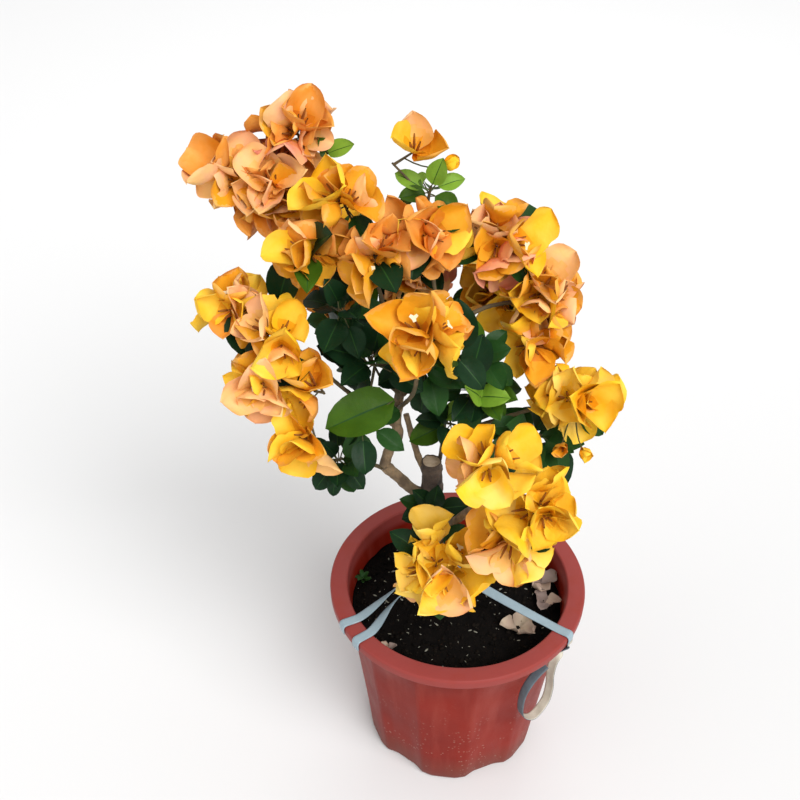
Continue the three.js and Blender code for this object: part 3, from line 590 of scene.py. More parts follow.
# the solids' own rule, and the finer one that adds more blossoms and leaves in the same space
# rooms are the distances kept to blossoms and to leaves, margins those to other masses and to limbs
solidRule = {"pulls": [1, 0.75, 0.5, 0.25], "blossomRooms": (29, 29), "leafRooms": (20, 20),
             "margins": (0.9, 1.4), "leastBend": 0.3, "blossomSize": (0.9, 0.25), "blossomInset": 0.72,
             "leafSize": 1}
finerRule = {"pulls": [1, 0.82, 0.64, 0.45], "blossomRooms": (16.5, 12), "leafRooms": (12, 12),
             "margins": (-5, 0.4), "leastBend": -0.1, "blossomSize": (0.82, 0.26), "blossomInset": 0.95,
             "leafSize": 0.92, "blossomShare": 2.6, "leafShare": 2.2, "leafShareInBlossom": 0.5,
             "seedStep": 500}
bract = {"length": 34, "width": 32, "cup": 0.08, "widestAt": 0.5, "widestTurn": 0.9, "notchOut": 0.5,
         "notchRise": 0.35}
leafShape = {"widthShare": 0.78, "widestAt": 0.42, "cup": 0.08}
bud = {"opening": 0.3, "size": 0.42, "rise": 0.6}
# the lone blossom at the top, open towards the viewer; its first bract is the far one
loneBlossom = {"base": np.array([-47.0, 66, 659]), "axis": unit([0, -0.5, 0.87]), "turn": -1.15,
               "opening": 0.75, "size": 1.05, "tints": ("peach", "gold", "amber")}
loneStem = {"mass": "blossom_top_shoot", "budAt": 0.5, "stalkAt": 0.8, "end": 0.85}
# single leaves that stand out: mass, middle, direction, length, room kept free, tint, width as a share
plainLeaves = [
    ("leaves_inside", (-90, -38, 466), (-0.85, -0.2, -0.3), 64, 25, "bright", 0.68),
    ("blossom_centre", (-157, 30, 558), (-0.3, -0.1, -0.95), 48, 12, "dark", 0.78),
    ("leaves_right", (7, -12, 509), (-0.2, -0.15, -0.95), 44, 12, "dark", 0.78),
    ("leaves_low_right", (86, -6, 378), (0.45, -0.1, -0.85), 46, 14, "dark", 0.78),
    ("blossom_top_left", (-110, 98, 646), (0.8, -0.1, 0.35), 25, 9, "young", 0.78),
    ("blossom_top_left", (-124, 98, 648), (-0.3, -0.3, 0.8), 22, 7, "bright", 0.78),
    ("leaves_right", (6, -14, 470), (-0.35, -0.4, 0.6), 34, 14, "young", 0.78),
    ("leaves_right", (22, -10, 462), (0.75, -0.35, 0.25), 32, 13, "young", 0.78)]

lobeCentres = np.array([row[:3] for mass in masses for row in mass["lobes"]], float)
lobeReaches = np.array([row[3] for mass in masses for row in mass["lobes"]], float)
lobeOwners = np.array([k for k, mass in enumerate(masses) for row in mass["lobes"]])
lobeGaps = np.linalg.norm(lobeCentres[:, None] - lobeCentres[None], axis=2)
lobeGaps[lobeGaps == 0] = 1


def sampleLimbs():
    places, reaches = [], []
    for limb in limbs.values():
        curve = limb["curve"]
        count = math.ceil(curve.length / space["testStep"])
        shares = np.linspace(0, 1, count + 1)
        places.append(curve.evenly(shares))
        reaches.append(limb["radiusAt"](shares) + curve.length / count / 2)
    return np.vstack(places), np.concatenate(reaches)


limbPlaces, limbReaches = sampleLimbs()


def isFree(places, owner, margin, limbMargin):
    # every place lies in its mass's own space, clear of limbs and pot
    places = np.atleast_2d(places)
    away = np.linalg.norm(places[:, None] - lobeCentres[None], axis=2)
    power = away ** 2 - lobeReaches ** 2
    own = np.where(lobeOwners == owner)[0]
    nearest = own[np.argmin(power[:, own], axis=1)]
    rows = np.arange(len(places))
    if np.any(away[rows, nearest] > lobeReaches[nearest] + space["spread"]):
        return False
    others = np.where(lobeOwners != owner)[0]
    toPlane = (power[:, others] - power[rows, nearest][:, None]) / (2 * lobeGaps[nearest][:, others])
    if np.any(toPlane < margin):
        return False
    toLimb = np.linalg.norm(places[:, None] - limbPlaces[None], axis=2) - limbReaches[None]
    if np.any(toLimb < limbMargin):
        return False
    overPot = np.hypot(places[:, 0], places[:, 1]) < pot["rimRadius"] + pot["keepOff"]
    return not np.any(overPot & (places[:, 2] < pot["height"] + pot["keepAbove"]))


def blossomSides(axis):
    # no blossom's axis lies along this slanted way up
    slantedUp = [0.3, 0.2, 1]
    side = unit(np.cross(axis, slantedUp))
    return side, np.cross(axis, side)


def blossomOutline(b):
    side, third = blossomSides(b["axis"])
    length = bract["length"] * b["size"]
    wideOut = bract["widestAt"] * length * math.sin(b["opening"])
    wideRise = bract["widestAt"] * length * math.cos(b["opening"]) + bract["cup"] * length
    halfWidth = bract["width"] * b["size"] / 2
    sideTurn = min(math.atan2(halfWidth, wideOut), bract["widestTurn"])
    sideOut = math.hypot(wideOut, halfWidth)
    rows = []
    for k in range(3):
        around = b["turn"] + k * 2 * math.pi / 3
        rows += [(around - sideTurn, sideOut, wideRise),
                 (around, length * math.sin(b["opening"]), length * math.cos(b["opening"])),
                 (around + sideTurn, sideOut, wideRise),
                 (around + math.pi / 3, bract["notchOut"] * sideOut, bract["notchRise"] * wideRise)]
    return np.array([b["base"] + out * outAt(side, third, around) + rise * b["axis"]
                     for around, out, rise in rows])


def leafFrame(direction):
    right = unit(np.cross(direction, light))
    return right, np.cross(right, direction)


def leafOutline(leaf):
    base, ahead = leaf["base"], leaf["length"] * leaf["direction"]
    right, up = leafFrame(leaf["direction"])
    width = leafShape["widthShare"] * leaf["length"]
    wide = base + leafShape["widestAt"] * ahead + leafShape["cup"] * width * up
    return np.array([base, wide + right * width / 2, base + ahead, wide - right * width / 2])


def leafMiddle(leaf):
    return leaf["base"] + growth["leaf"]["middle"] * leaf["length"] * leaf["direction"]


def fillOutline(outline, middle):
    grid = space["testGrid"]
    shares = [(i / grid, j / grid) for i in range(grid + 1) for j in range(grid + 1 - i)]
    ahead = np.roll(outline, -1, axis=0) - middle
    here = outline - middle
    return np.vstack([middle + a * here + b * ahead for a, b in shares])


def betweenPlaces(start, end, step):
    count = math.ceil(np.linalg.norm(end - start) / step)
    return start + (end - start) * np.linspace(0, 1, count + 1)[:, None]


def spreadDirection(index, count, facing, coverage, turn, random):
    fall = 1 - coverage * (index + 0.5) / count
    around = index * goldenAngle + turn
    ring = math.sqrt(max(0, 1 - fall * fall))
    side = unit(np.cross([0, 0, 1], facing))
    third = np.cross(facing, side)
    jitter = np.array([random() - 0.5, random() - 0.5, random() - 0.5])
    return unit(facing * fall + ring * outAt(side, third, around) + growth["jitter"] * jitter)


def lobeStem(row):
    centre = np.array(row[:3], float)
    outward = centre - growth["crownMiddle"]
    outward[2] *= growth["outwardRise"]
    facing = unit(unit(outward) * growth["outward"] + light)
    reach = row[3]
    return {"centre": centre, "reach": reach, "facing": facing,
            "foot": centre - growth["stemFoot"] * reach * facing,
            "top": centre + growth["stemTop"] * reach * facing}


def stalkStart(stem, kind, index, count):
    share = kind["stalkFrom"] - kind["stalkRun"] * (index + 0.5) / count
    return stem["foot"] + (stem["top"] - stem["foot"]) * share


def drawBlossom(stem, index, count, turn, random, rule):
    kind = growth["blossom"]
    way = spreadDirection(index, count, stem["facing"], kind["coverage"], turn, random)
    inset = rule["blossomInset"] * bract["length"]
    return {"way": way, "axis": unit(way + kind["toLight"] * light), "turn": 2 * math.pi * random(),
            "opening": pick(kind["opening"], random), "size": pick(rule["blossomSize"], random),
            "start": stalkStart(stem, kind, index, count),
            "distance": max(growth["leastDistance"], stem["reach"] - inset)}


def drawLeaf(stem, index, count, turn, random, fullLength):
    kind = growth["leaf"]
    way = spreadDirection(index, count, stem["facing"], kind["coverage"], turn, random)
    length = fullLength * pick(kind["spread"], random)
    droop = pick(kind["droop"], random)
    distance = stem["reach"] + kind["overhang"] - kind["inset"] * length
    return {"way": way, "direction": unit(way - [0, 0, droop]), "length": length,
            "start": stalkStart(stem, kind, index, count),
            "distance": max(growth["leastDistance"], distance)}


class Growing:
    # what one mass has grown so far
    def __init__(self, owner):
        self.owner = owner
        self.stems = []
        self.blossoms, self.leaves = [], []
        self.blossomMiddles, self.leafMiddles = [], []

    def hasRoom(self, middle, rooms):
        crowds = zip((self.blossomMiddles, self.leafMiddles), rooms)
        return all(np.linalg.norm(middle - other) >= room for others, room in crowds for other in others)

    def isClear(self, thing, outline, inside, margins):
        # both its filled outline and its stalk
        stalk = betweenPlaces(thing["start"], thing["base"], space["testStep"])
        return isFree(np.vstack([fillOutline(outline, inside), stalk]), self.owner, *margins)

    def settleBlossom(self, drawn, stem, rule):
        for pull in rule["pulls"]:
            base = stem["centre"] + drawn["way"] * drawn["distance"] * pull
            blossom = {**drawn, "base": base}
            middle = base + growth["blossom"]["middle"] * bract["length"] * drawn["axis"]
            bendsLittle = unit(base - drawn["start"]) @ drawn["axis"] >= rule["leastBend"]
            if (bendsLittle and self.hasRoom(middle, rule["blossomRooms"])
                    and self.isClear(blossom, blossomOutline(blossom), base, rule["margins"])):
                self.blossoms.append(blossom)
                self.blossomMiddles.append(middle)
                return

    def settleLeaf(self, drawn, stem, rule):
        for pull in rule["pulls"]:
            leaf = {**drawn, "base": stem["centre"] + drawn["way"] * drawn["distance"] * pull}
            middle = leafMiddle(leaf)
            if (self.hasRoom(middle, rule["leafRooms"])
                    and self.isClear(leaf, leafOutline(leaf), middle, rule["margins"])):
                self.leaves.append(leaf)
                self.leafMiddles.append(middle)
                return


def growLobe(grown, mass, stem, counts, random, rule):
    turn = 2 * math.pi * random()
    for k in range(counts[0]):
        grown.settleBlossom(drawBlossom(stem, k, counts[0], turn, random, rule), stem, rule)
    turn = 2 * math.pi * random()
    fullLength = mass.get("leafLength", growth["leaf"]["length"]) * rule["leafSize"]
    for k in range(counts[1]):
        grown.settleLeaf(drawLeaf(stem, k, counts[1], turn, random, fullLength), stem, rule)


def finerCounts(mass, row):
    blossomShare = mass.get("finerBlossoms", finerRule["blossomShare"])
    leafShare = finerRule["leafShare" if row[5] > row[4] else "leafShareInBlossom"]
    return round(row[4] * blossomShare), round(row[5] * leafShare)


def addBuds(grown, mass, stem):
    for place in mass.get("buds", []):
        base = np.array(place, float)
        axis = unit(unit(base - stem["centre"]) + [0, 0, bud["rise"]])
        # a bud's own place sets its turn
        grown.blossoms.append({"base": base, "axis": axis, "turn": place[0], "opening": bud["opening"],
                               "size": bud["size"], "start": stem["top"]})


def growMass(owner):
    mass = masses[owner]
    grown = Growing(owner)
    curve = limbs["bough_to_" + mass["name"]]["curve"]
    stems = [lobeStem(row) for row in mass["lobes"]]
    entry = curve.evenly(1)[0]
    hub = stems[0]["foot"]
    for k, stem in enumerate(stems):
        grown.stems.append((entry if k == 0 else hub, stem["foot"], curve.way(1) if k == 0 else None))
        grown.stems.append((stem["foot"], stem["top"], None))
    random = makeRandom(mass["seed"])
    for row, stem in zip(mass["lobes"], stems):
        growLobe(grown, mass, stem, row[4:6], random, solidRule)
    random = makeRandom(mass["seed"] + finerRule["seedStep"])
    for row, stem in zip(mass["lobes"], stems):
        growLobe(grown, mass, stem, finerCounts(mass, row), random, finerRule)
    addBuds(grown, mass, stems[-1])
    return grown


def grownIn(massName):
    return next(grown for grown, mass in zip(allGrown, masses) if mass["name"] == massName)


def placeLeaf(massName, middle, direction, length, room, tint, widthShare):
    # one more leaf on the mass's nearest stem, and the leaves that crowd it go
    grown = grownIn(massName)
    middle = np.array(middle, float)
    direction = unit(direction)
    stemEnds = [end for _, end, _ in grown.stems]
    leaf = {"start": min(stemEnds, key=lambda end: np.linalg.norm(end - middle)), "direction": direction,
            "length": length, "base": middle - growth["leaf"]["middle"] * length * direction,
            "tint": tint, "widthShare": widthShare}
    for other in allGrown:
        other.leaves = [one for one in other.leaves if np.linalg.norm(leafMiddle(one) - middle) > room]
    grown.leaves.append(leaf)


def openLoneBlossom():
    # its stem bends to meet it, and the bud leaves that stem halfway up
    grown = grownIn(loneStem["mass"])
    blossom, budBeside = grown.blossoms
    foot = grown.stems[-1][0]
    rise = loneBlossom["base"] - foot
    blossom.update(loneBlossom, start=foot + loneStem["stalkAt"] * rise)
    budBeside["start"] = foot + loneStem["budAt"] * rise
    grown.stems[-1] = (foot, foot + loneStem["end"] * rise, None)


allGrown = [growMass(k) for k in range(len(masses))]
for row in plainLeaves:
    placeLeaf(*row)
openLoneBlossom()
print("foliage has grown:", sum(len(g.blossoms) for g in allGrown), "blossoms,",
      sum(len(g.leaves) for g in allGrown), "leaves")


# joined meshes of many small shapes, each bent from one template

def gridTemplate(columns, rows, tipEase=1.0):
    # across runs from -1 to 1, along from 0 to 1 with its rows closer together towards the tip
    bm = bmesh.new()
    bmesh.ops.create_grid(bm, x_segments=columns, y_segments=rows, size=1)
    places, faces = shapeOf(bm)
    return places[:, 0], 1 - (0.5 - places[:, 1] / 2) ** tipEase, faces


def tubeTemplate(sides, rings):
    # a ring of points round the axis, drawn out from 0 to 1
    bm = bmesh.new()
    bmesh.ops.create_circle(bm, cap_ends=False, radius=1, segments=sides)
    edges = list(bm.edges)
    for _ in range(rings):
        geom = bmesh.ops.extrude_edge_only(bm, edges=edges)["geom"]
        edges = [g for g in geom if isinstance(g, bmesh.types.BMEdge)]
        verts = [g for g in geom if isinstance(g, bmesh.types.BMVert)]
        bmesh.ops.translate(bm, vec=(0, 0, 1 / rings), verts=verts)
    return shapeOf(bm)


def joinedMesh(name, blocks, faces, materialIndexes=None):
    # blocks: (count, points, 3) in millimetres, every block with the same faces
    blocks = np.asarray(blocks)
    count, points = blocks.shape[:2]
    allFaces = (faces[None] + (np.arange(count) * points)[:, None, None]).reshape(-1, faces.shape[1])
    mesh = bpy.data.meshes.new(name)
    mesh.from_pydata((blocks.reshape(-1, 3) * mm).tolist(), [], allFaces.tolist())
    if materialIndexes is not None:
        mesh.polygons.foreach_set("material_index", np.asarray(materialIndexes, np.int32).ravel())
    mesh.shade_smooth()
    mesh.update()
    return mesh


# a whole turn in radians, near enough for what is drawn by chance
wholeTurn = 6.28
# bends that bracts and leaves share: where the crease, waves, frill, pucker and tip curl act
bend = {"creaseWidth": 0.14, "waveSides": 1.7, "wavePower": 2.2, "frillPower": 3, "puckerAlong": 9,
        "puckerAcross": 5, "tipLevel": 0.7, "tipPower": 4, "edgeDrawIn": 0.10}
# width along a bract or leaf: broad and round, or drawn out to a point; each one lies between the two
profileSteps = [0, 0.06, 0.16, 0.31, 0.46, 0.59, 0.7, 0.81, 0.9, 0.96, 1]
bractProfiles = ([0.12, 0.58, 0.88, 1, 1, 1, 0.98, 0.91, 0.77, 0.55, 0],
                 [0.12, 0.54, 0.86, 1, 1, 0.97, 0.90, 0.76, 0.57, 0.35, 0])
leafProfiles = ([0.05, 0.46, 0.80, 0.98, 1, 0.95, 0.85, 0.66, 0.42, 0.22, 0],
                [0.05, 0.36, 0.70, 0.94, 1, 0.90, 0.74, 0.50, 0.28, 0.13, 0])


def drawPhase(random):
    # what sets one petal's waves apart from the next one's, and its mix of the two outlines
    return wholeTurn * random(), 2 * random(), wholeTurn * random(), random() ** 2


def bendPetals(template, profiles, shape, rows):
    # rows: foot, axis, direction that the petal leans to, length, width, lean at foot and tip, phases
    across, along = template[:2]
    base, way, out, length, width, angles, phase = [np.array(part) for part in zip(*rows)]
    side = np.cross(way, out)
    length, width = length[:, None], width[:, None]
    start, end = angles[:, :1], angles[:, 1:]
    turn = np.where(np.abs(end - start) < 1e-3, 1e-3, end - start)
    angle = start + turn * along
    mix = phase[:, 3:]
    fullness = (np.interp(along, profileSteps, profiles[0]) * (1 - mix)
                + np.interp(along, profileSteps, profiles[1]) * mix)
    wide = fullness * width / 2
    edge = np.abs(across)
    crease = np.exp(-(across / bend["creaseWidth"]) ** 2)
    ripple = np.sin(shape["wavesAlong"] * along + phase[:, :1]
                    + bend["waveSides"] * np.sign(across) * phase[:, 1:2])
    frill = np.sin(shape["frillsAlong"] * along + phase[:, 2:3] + np.sign(across))
    pucker = np.sin(bend["puckerAlong"] * along + bend["puckerAcross"] * across + phase[:, 2:3])
    lift = shape["cup"] * width * edge ** 2 * fullness
    lift = lift + shape["fold"] * wide * edge - shape["crease"] * width * crease
    lift = lift + shape["wave"] * width * ripple * edge ** bend["wavePower"]
    lift = lift + shape["frill"] * width * frill * edge ** bend["frillPower"]
    lift = lift + shape["pucker"] * width * pucker
    lift = lift - shape["tipCurl"] * (phase[:, 1:2] - bend["tipLevel"]) * length * along ** bend["tipPower"]
    outward = length * (np.cos(start) - np.cos(angle)) / turn - np.cos(angle) * lift
    upward = length * (np.sin(angle) - np.sin(start)) / turn + np.sin(angle) * lift
    sideways = wide * across * (1 - bend["edgeDrawIn"] * edge ** 2)
    place = base[:, None] + way[:, None] * upward[..., None] + out[:, None] * outward[..., None]
    return place + side[:, None] * sideways[..., None]


def pickTint(weights, share):
    names = list(weights)
    marks = np.cumsum([weights[name] for name in names])
    return names[int(np.searchsorted(marks, share * marks[-1]))]


# bracts

# each tint: its colour, what it blushes to in soft patches, and its deeper heart
bractTints = {
    "paleGold": ((0.96, 0.62, 0.03), (0.96, 0.67, 0.15), (0.90, 0.46, 0.01)),
    "gold": ((0.93, 0.53, 0.013), (0.95, 0.63, 0.07), (0.80, 0.36, 0.008)),
    "amber": ((0.80, 0.345, 0.008), (0.88, 0.44, 0.03), (0.66, 0.21, 0.006)),
    "orange": ((0.78, 0.27, 0.012), (0.87, 0.40, 0.09), (0.62, 0.16, 0.008)),
    "peach": ((0.93, 0.56, 0.20), (0.92, 0.50, 0.26), (0.84, 0.40, 0.02)),
    "pink": ((0.84, 0.31, 0.22), (0.92, 0.46, 0.20), (0.80, 0.32, 0.02)),
    "dried": ((0.25, 0.185, 0.165), (0.33, 0.25, 0.21), (0.16, 0.10, 0.08)),
    "withered": ((0.46, 0.32, 0.26), (0.50, 0.41, 0.30), (0.27, 0.16, 0.12))}
# tints that run down into their heart in steps, and those that pale to peach along their rim
steppedTints = ("peach", "pink")
tippedTints = ("amber", "orange")
bractFinish = {"patches": (42, 0.9), "heartPatches": (90, 0.6), "stepPatches": (60, 0.7),
               "relief": (260, 0.35), "roughness": 0.6, "specular": 0.25, "tipPaleness": 0.5}
# where the heart ends, the middle step ends and the rim begins, as shares of length and half width
heart = {"along": 0.36, "across": 0.6, "middleAlong": 0.66, "middleSlope": 0.3, "rimAlong": 0.94,
         "rimSlope": 0.22}
petal = {"columns": 10, "rows": 12, "tipEase": 1.45, "curl": (-0.85, 1.1), "cup": 0.33, "fold": 0.03,
         "crease": 0.03, "wave": 0.07, "wavesAlong": 7.0, "frill": 0.022, "frillsAlong": 21.0,
         "tipCurl": 0.12, "pucker": 0.016, "turnJitter": 0.25, "leanJitter": 0.35, "size": (0.92, 0.24),
         "width": (0.94, 0.16), "strayTints": 0.15}
petalTemplate = gridTemplate(petal["columns"], petal["rows"], petal["tipEase"])


def blend(one, other, share):
    return tuple(a + (b - a) * share for a, b in zip(one, other))


def bractMaterial(name, color, blush, patches):
    return mottledMaterial("bract_" + name, color, blush, *patches, *bractFinish["relief"],
                           bractFinish["roughness"], Specular_IOR_Level=bractFinish["specular"])


def makeBractMaterials():
    made = {}
    for name, (color, blush, inner) in bractTints.items():
        made[name] = bractMaterial(name, color, blush, bractFinish["patches"])
        made[name + "Heart"] = bractMaterial("heart_" + name, inner, color, bractFinish["heartPatches"])
    for name in steppedTints:
        color, _, inner = bractTints[name]
        middle = blend(color, inner, 0.5)
        made[name + "Middle"] = bractMaterial("middle_" + name, middle, color, bractFinish["stepPatches"])
    for name in tippedTints:
        color = bractTints[name][0]
        pale = blend(color, bractTints["peach"][0], bractFinish["tipPaleness"])
        made[name + "Tip"] = bractMaterial("tip_" + name, pale, color, bractFinish["stepPatches"])
    return made


bractMaterials = makeBractMaterials()
bractMaterialNames = list(bractMaterials)


def bractFaceTints():
    # for each tint, which material every face of a bract takes
    across, along, faces = petalTemplate
    faceAlong, faceAcross = along[faces].mean(axis=1), np.abs(across[faces].mean(axis=1))
    inHeart = (faceAlong < heart["along"]) & (faceAcross < heart["across"])
    inMiddle = faceAlong < heart["middleAlong"] - heart["middleSlope"] * faceAcross
    inRim = faceAlong > heart["rimAlong"] - heart["rimSlope"] * faceAcross
    faceTints = {}
    for tint in bractTints:
        indexes = np.full(len(faces), bractMaterialNames.index(tint))
        if tint in tippedTints:
            indexes[inRim] = bractMaterialNames.index(tint + "Tip")
        if tint in steppedTints:
            indexes[inMiddle] = bractMaterialNames.index(tint + "Middle")
        indexes[inHeart] = bractMaterialNames.index(tint + "Heart")
        faceTints[tint] = indexes
    return faceTints


def bractRows(grown, mass, random):
    weights = mass.get("tints", warm)
    rows, tints = [], []
    for b in grown.blossoms:
        side, third = blossomSides(b["axis"])
        tint = pickTint(weights, random())
        for k in range(3):
            around = b["turn"] + k * 2 * math.pi / 3 + petal["turnJitter"] * (random() - 0.5)
            lean = b["opening"] + petal["leanJitter"] * (random() - 0.5)
            curl = pick(petal["curl"], random)
            size = b["size"] * pick(petal["size"], random)
            width = bract["width"] * size * pick(petal["width"], random)
            rows.append((b["base"], b["axis"], outAt(side, third, around), bract["length"] * size, width,
                         (lean - curl, lean + curl), drawPhase(random)))
            chance = pickTint(weights, random()) if random() < petal["strayTints"] else tint
            tints.append(b["tints"][k] if "tints" in b else chance)
    return rows, tints


def makeBlossoms():
    random = makeRandom(7)
    faceTints = bractFaceTints()
    bearing = [k for k, mass in enumerate(masses) if mass["name"].startswith(("blossom", "crown"))]
    half = len(bearing) // 2
    for name, owners in (("bracts_high", bearing[:half]), ("bracts_low", bearing[half:])):
        rows, indexes = [], []
        for k in owners:
            newRows, tints = bractRows(allGrown[k], masses[k], random)
            rows += newRows
            indexes += [faceTints[tint] for tint in tints]
        blocks = bendPetals(petalTemplate, bractProfiles, petal, rows)
        mesh = joinedMesh(name, blocks, petalTemplate[2], np.concatenate(indexes))
        nodes = [masses[k]["name"] for k in owners]
        addPiece(name, mesh, list(bractMaterials.values()), "orange_bract", *nodes)


# leaves

leafTints = {"dark": (0.006, 0.026, 0.008), "mid": (0.015, 0.056, 0.010), "bright": (0.038, 0.092, 0.005),
             "young": (0.17, 0.31, 0.03), "rib": (0.018, 0.062, 0.013)}
leafFinish = {"paler": 1.5, "patches": (55, 0.6), "relief": (300, 0.3), "roughness": 0.45, "specular": 0.15}
blade = {"columns": 7, "rows": 8, "ribWidth": 0.035, "cup": 0.05, "fold": 0.16, "crease": 0.035, "wave": 0.05,
         "wavesAlong": 7.0, "frill": 0.0, "frillsAlong": 21.0, "tipCurl": 0.06, "pucker": 0.012, "curl": 0.22,
         "tipTurn": (0.11, 0.3), "width": (0.86, 0.2)}


def makeLeafMaterials():
    made = {}
    for name, color in leafTints.items():
        paler = tuple(leafFinish["paler"] * part for part in color)
        made[name] = mottledMaterial("leaf_" + name, color, paler, *leafFinish["patches"],
                                     *leafFinish["relief"], leafFinish["roughness"],
                                     Specular_IOR_Level=leafFinish["specular"])
    return made


leafMaterials = makeLeafMaterials()


def bladeTemplate():
    # the middle column is squeezed to a narrow midrib
    across, along, faces = gridTemplate(blade["columns"], blade["rows"])
    steps = [0, 1 / blade["columns"], 1]
    return np.sign(across) * np.interp(np.abs(across), steps, [0, blade["ribWidth"], 1]), along, faces


def makeLeaves():
    random = makeRandom(8)
    template = bladeTemplate()
    across, _, faces = template
    isRib = np.abs(across[faces]).max(axis=1) < 2 * blade["ribWidth"]
    names = list(leafTints)
    # a leaf's axis is its upper side, so a lean of a quarter turn runs along it
    quarter = math.pi / 2
    rows, indexes = [], []
    for grown, mass in zip(allGrown, masses):
        for leaf in grown.leaves:
            up = leafFrame(leaf["direction"])[1]
            widthShare = leaf.get("widthShare", leafShape["widthShare"])
            width = widthShare * leaf["length"] * pick(blade["width"], random)
            angles = (quarter - blade["curl"], quarter + pick(blade["tipTurn"], random))
            rows.append((leaf["base"], up, leaf["direction"], leaf["length"], width, angles,
                         drawPhase(random)))
            tint = pickTint(mass.get("leafTints", plainGreen), random())
            indexes.append(np.where(isRib, names.index("rib"), names.index(leaf.get("tint", tint))))
    blocks = bendPetals(template, leafProfiles, blade, rows)
    mesh = joinedMesh("leaves", blocks, faces, np.concatenate(indexes))
    nodes = [mass["name"] for mass in masses if mass["name"].startswith("leaves")]
    addPiece("leaves", mesh, list(leafMaterials.values()), "leaf", *nodes)


# twigs and stalks: tubes bent from a start towards an end

twig = {"sides": 6, "rings": 5, "stem": (1.5, 1.0), "blossomStalk": (0.75, 0.6), "leafStalk": (0.7, 0.5),
        "bend": 0.4, "overlap": 2, "leafStalkRise": 1.5}
greenStalk = mottledMaterial("green_stalk", (0.05, 0.085, 0.02), (0.12, 0.07, 0.03), 90, 0.8, 600, 0.2, 0.6)


def bendTubes(template, rows):
    # rows: start, the place the tube bends towards, end, and its radius at both ends
    start, control, end, radii = [np.array(part) for part in zip(*rows)]
    t = template[:, 2][None, :, None]
    middle = (1 - t) ** 2 * start[:, None] + 2 * t * (1 - t) * control[:, None] + t ** 2 * end[:, None]
    way = unit(end - start)
    right = unit(np.cross(way, np.where(np.abs(way[:, 2:]) < 0.9, [[0, 0, 1]], [[1, 0, 0]])))
    up = np.cross(way, right)
    radius = radii[:, :1] + (radii[:, 1:] - radii[:, :1]) * template[:, 2][None]
    return (middle + right[:, None] * (template[:, 0][None] * radius)[..., None]
            + up[:, None] * (template[:, 1][None] * radius)[..., None])


def twigRows(grown):
    rows, isGreen = [], []
    for start, end, way in grown.stems:
        ahead = unit(end - start) if way is None else way
        control = start + ahead * twig["bend"] * np.linalg.norm(end - start)
        rows.append((start, control, end + twig["overlap"] * unit(end - start), twig["stem"]))
        isGreen.append(0)
    for b in grown.blossoms:
        control = b["base"] - b["axis"] * twig["bend"] * np.linalg.norm(b["base"] - b["start"])
        rows.append((b["start"], control, b["base"] + b["axis"], twig["blossomStalk"]))
        isGreen.append(1)
    for leaf in grown.leaves:
        control = (leaf["start"] + leaf["base"]) / 2 + [0, 0, twig["leafStalkRise"]]
        rows.append((leaf["start"], control, leaf["base"] + leaf["direction"], twig["leafStalk"]))
        isGreen.append(1)
    return rows, isGreen


def makeTwigs():
    rows, indexes = [], []
    for grown in allGrown:
        newRows, isGreen = twigRows(grown)
        rows += newRows
        indexes += isGreen
    template, faces = tubeTemplate(twig["sides"], twig["rings"])
    mesh = joinedMesh("twigs", bendTubes(template, rows), faces, np.repeat(indexes, len(faces)))
    addPiece("twigs", mesh, [youngBark, greenStalk], "bark")


# the small true flowers: three tubes in each throat, and here and there an open star

flower = {"sides": 6, "rings": 4, "length": (11, 6), "radii": (1.0, 0.85), "openShare": 0.022,
          "lean": (0.08, 0.16), "inset": 2.2, "waist": 0.75, "swell": 0.5, "swellFrom": 0.1, "starPoints": 5,
          "starRadius": 4.0, "starNotch": 0.5, "starRise": 0.22}
flowerTube = mottledMaterial("flower_tube", (0.26, 0.08, 0.025), (0.40, 0.20, 0.035), 80, 0.8, 500, 0.2, 0.6)
flowerStar = mottledMaterial("flower_star", (0.9, 0.86, 0.66), (0.8, 0.7, 0.35), 150, 0.6, 500, 0.1, 0.6)


def makeFlowers():
    random = makeRandom(9)
    rows, stars = [], []
    for b in [blossom for grown in allGrown for blossom in grown.blossoms]:
        side, third = blossomSides(b["axis"])
        for k in range(3):
            out = outAt(side, third, b["turn"] + k * 2 * math.pi / 3)
            foot = b["base"] + out * flower["inset"] + b["axis"]
            way = unit(b["axis"] + pick(flower["lean"], random) * out)
            length = pick(flower["length"], random) * b["size"]
            rows.append((foot, foot + way * length / 2, foot + way * length, flower["radii"]))
            if random() < flower["openShare"]:
                stars.append((foot + way * length, way, out, wholeTurn * random()))
    template, faces = tubeTemplate(flower["sides"], flower["rings"])
    blocks = bendTubes(template, rows)
    # the tubes narrow at both ends, as closed buds do
    t = template[:, 2][None, :, None]
    along = flower["swellFrom"] + (1 - flower["swellFrom"]) * t
    swell = flower["waist"] + flower["swell"] * np.sin(math.pi * along)
    start, _, end, _ = [np.array(part) for part in zip(*rows)]
    middle = start[:, None] * (1 - t) + end[:, None] * t
    mesh = joinedMesh("flower_tubes", middle + (blocks - middle) * swell, faces)
    addPiece("flower_tubes", mesh, [flowerTube], "bark")
    makeStars(stars)


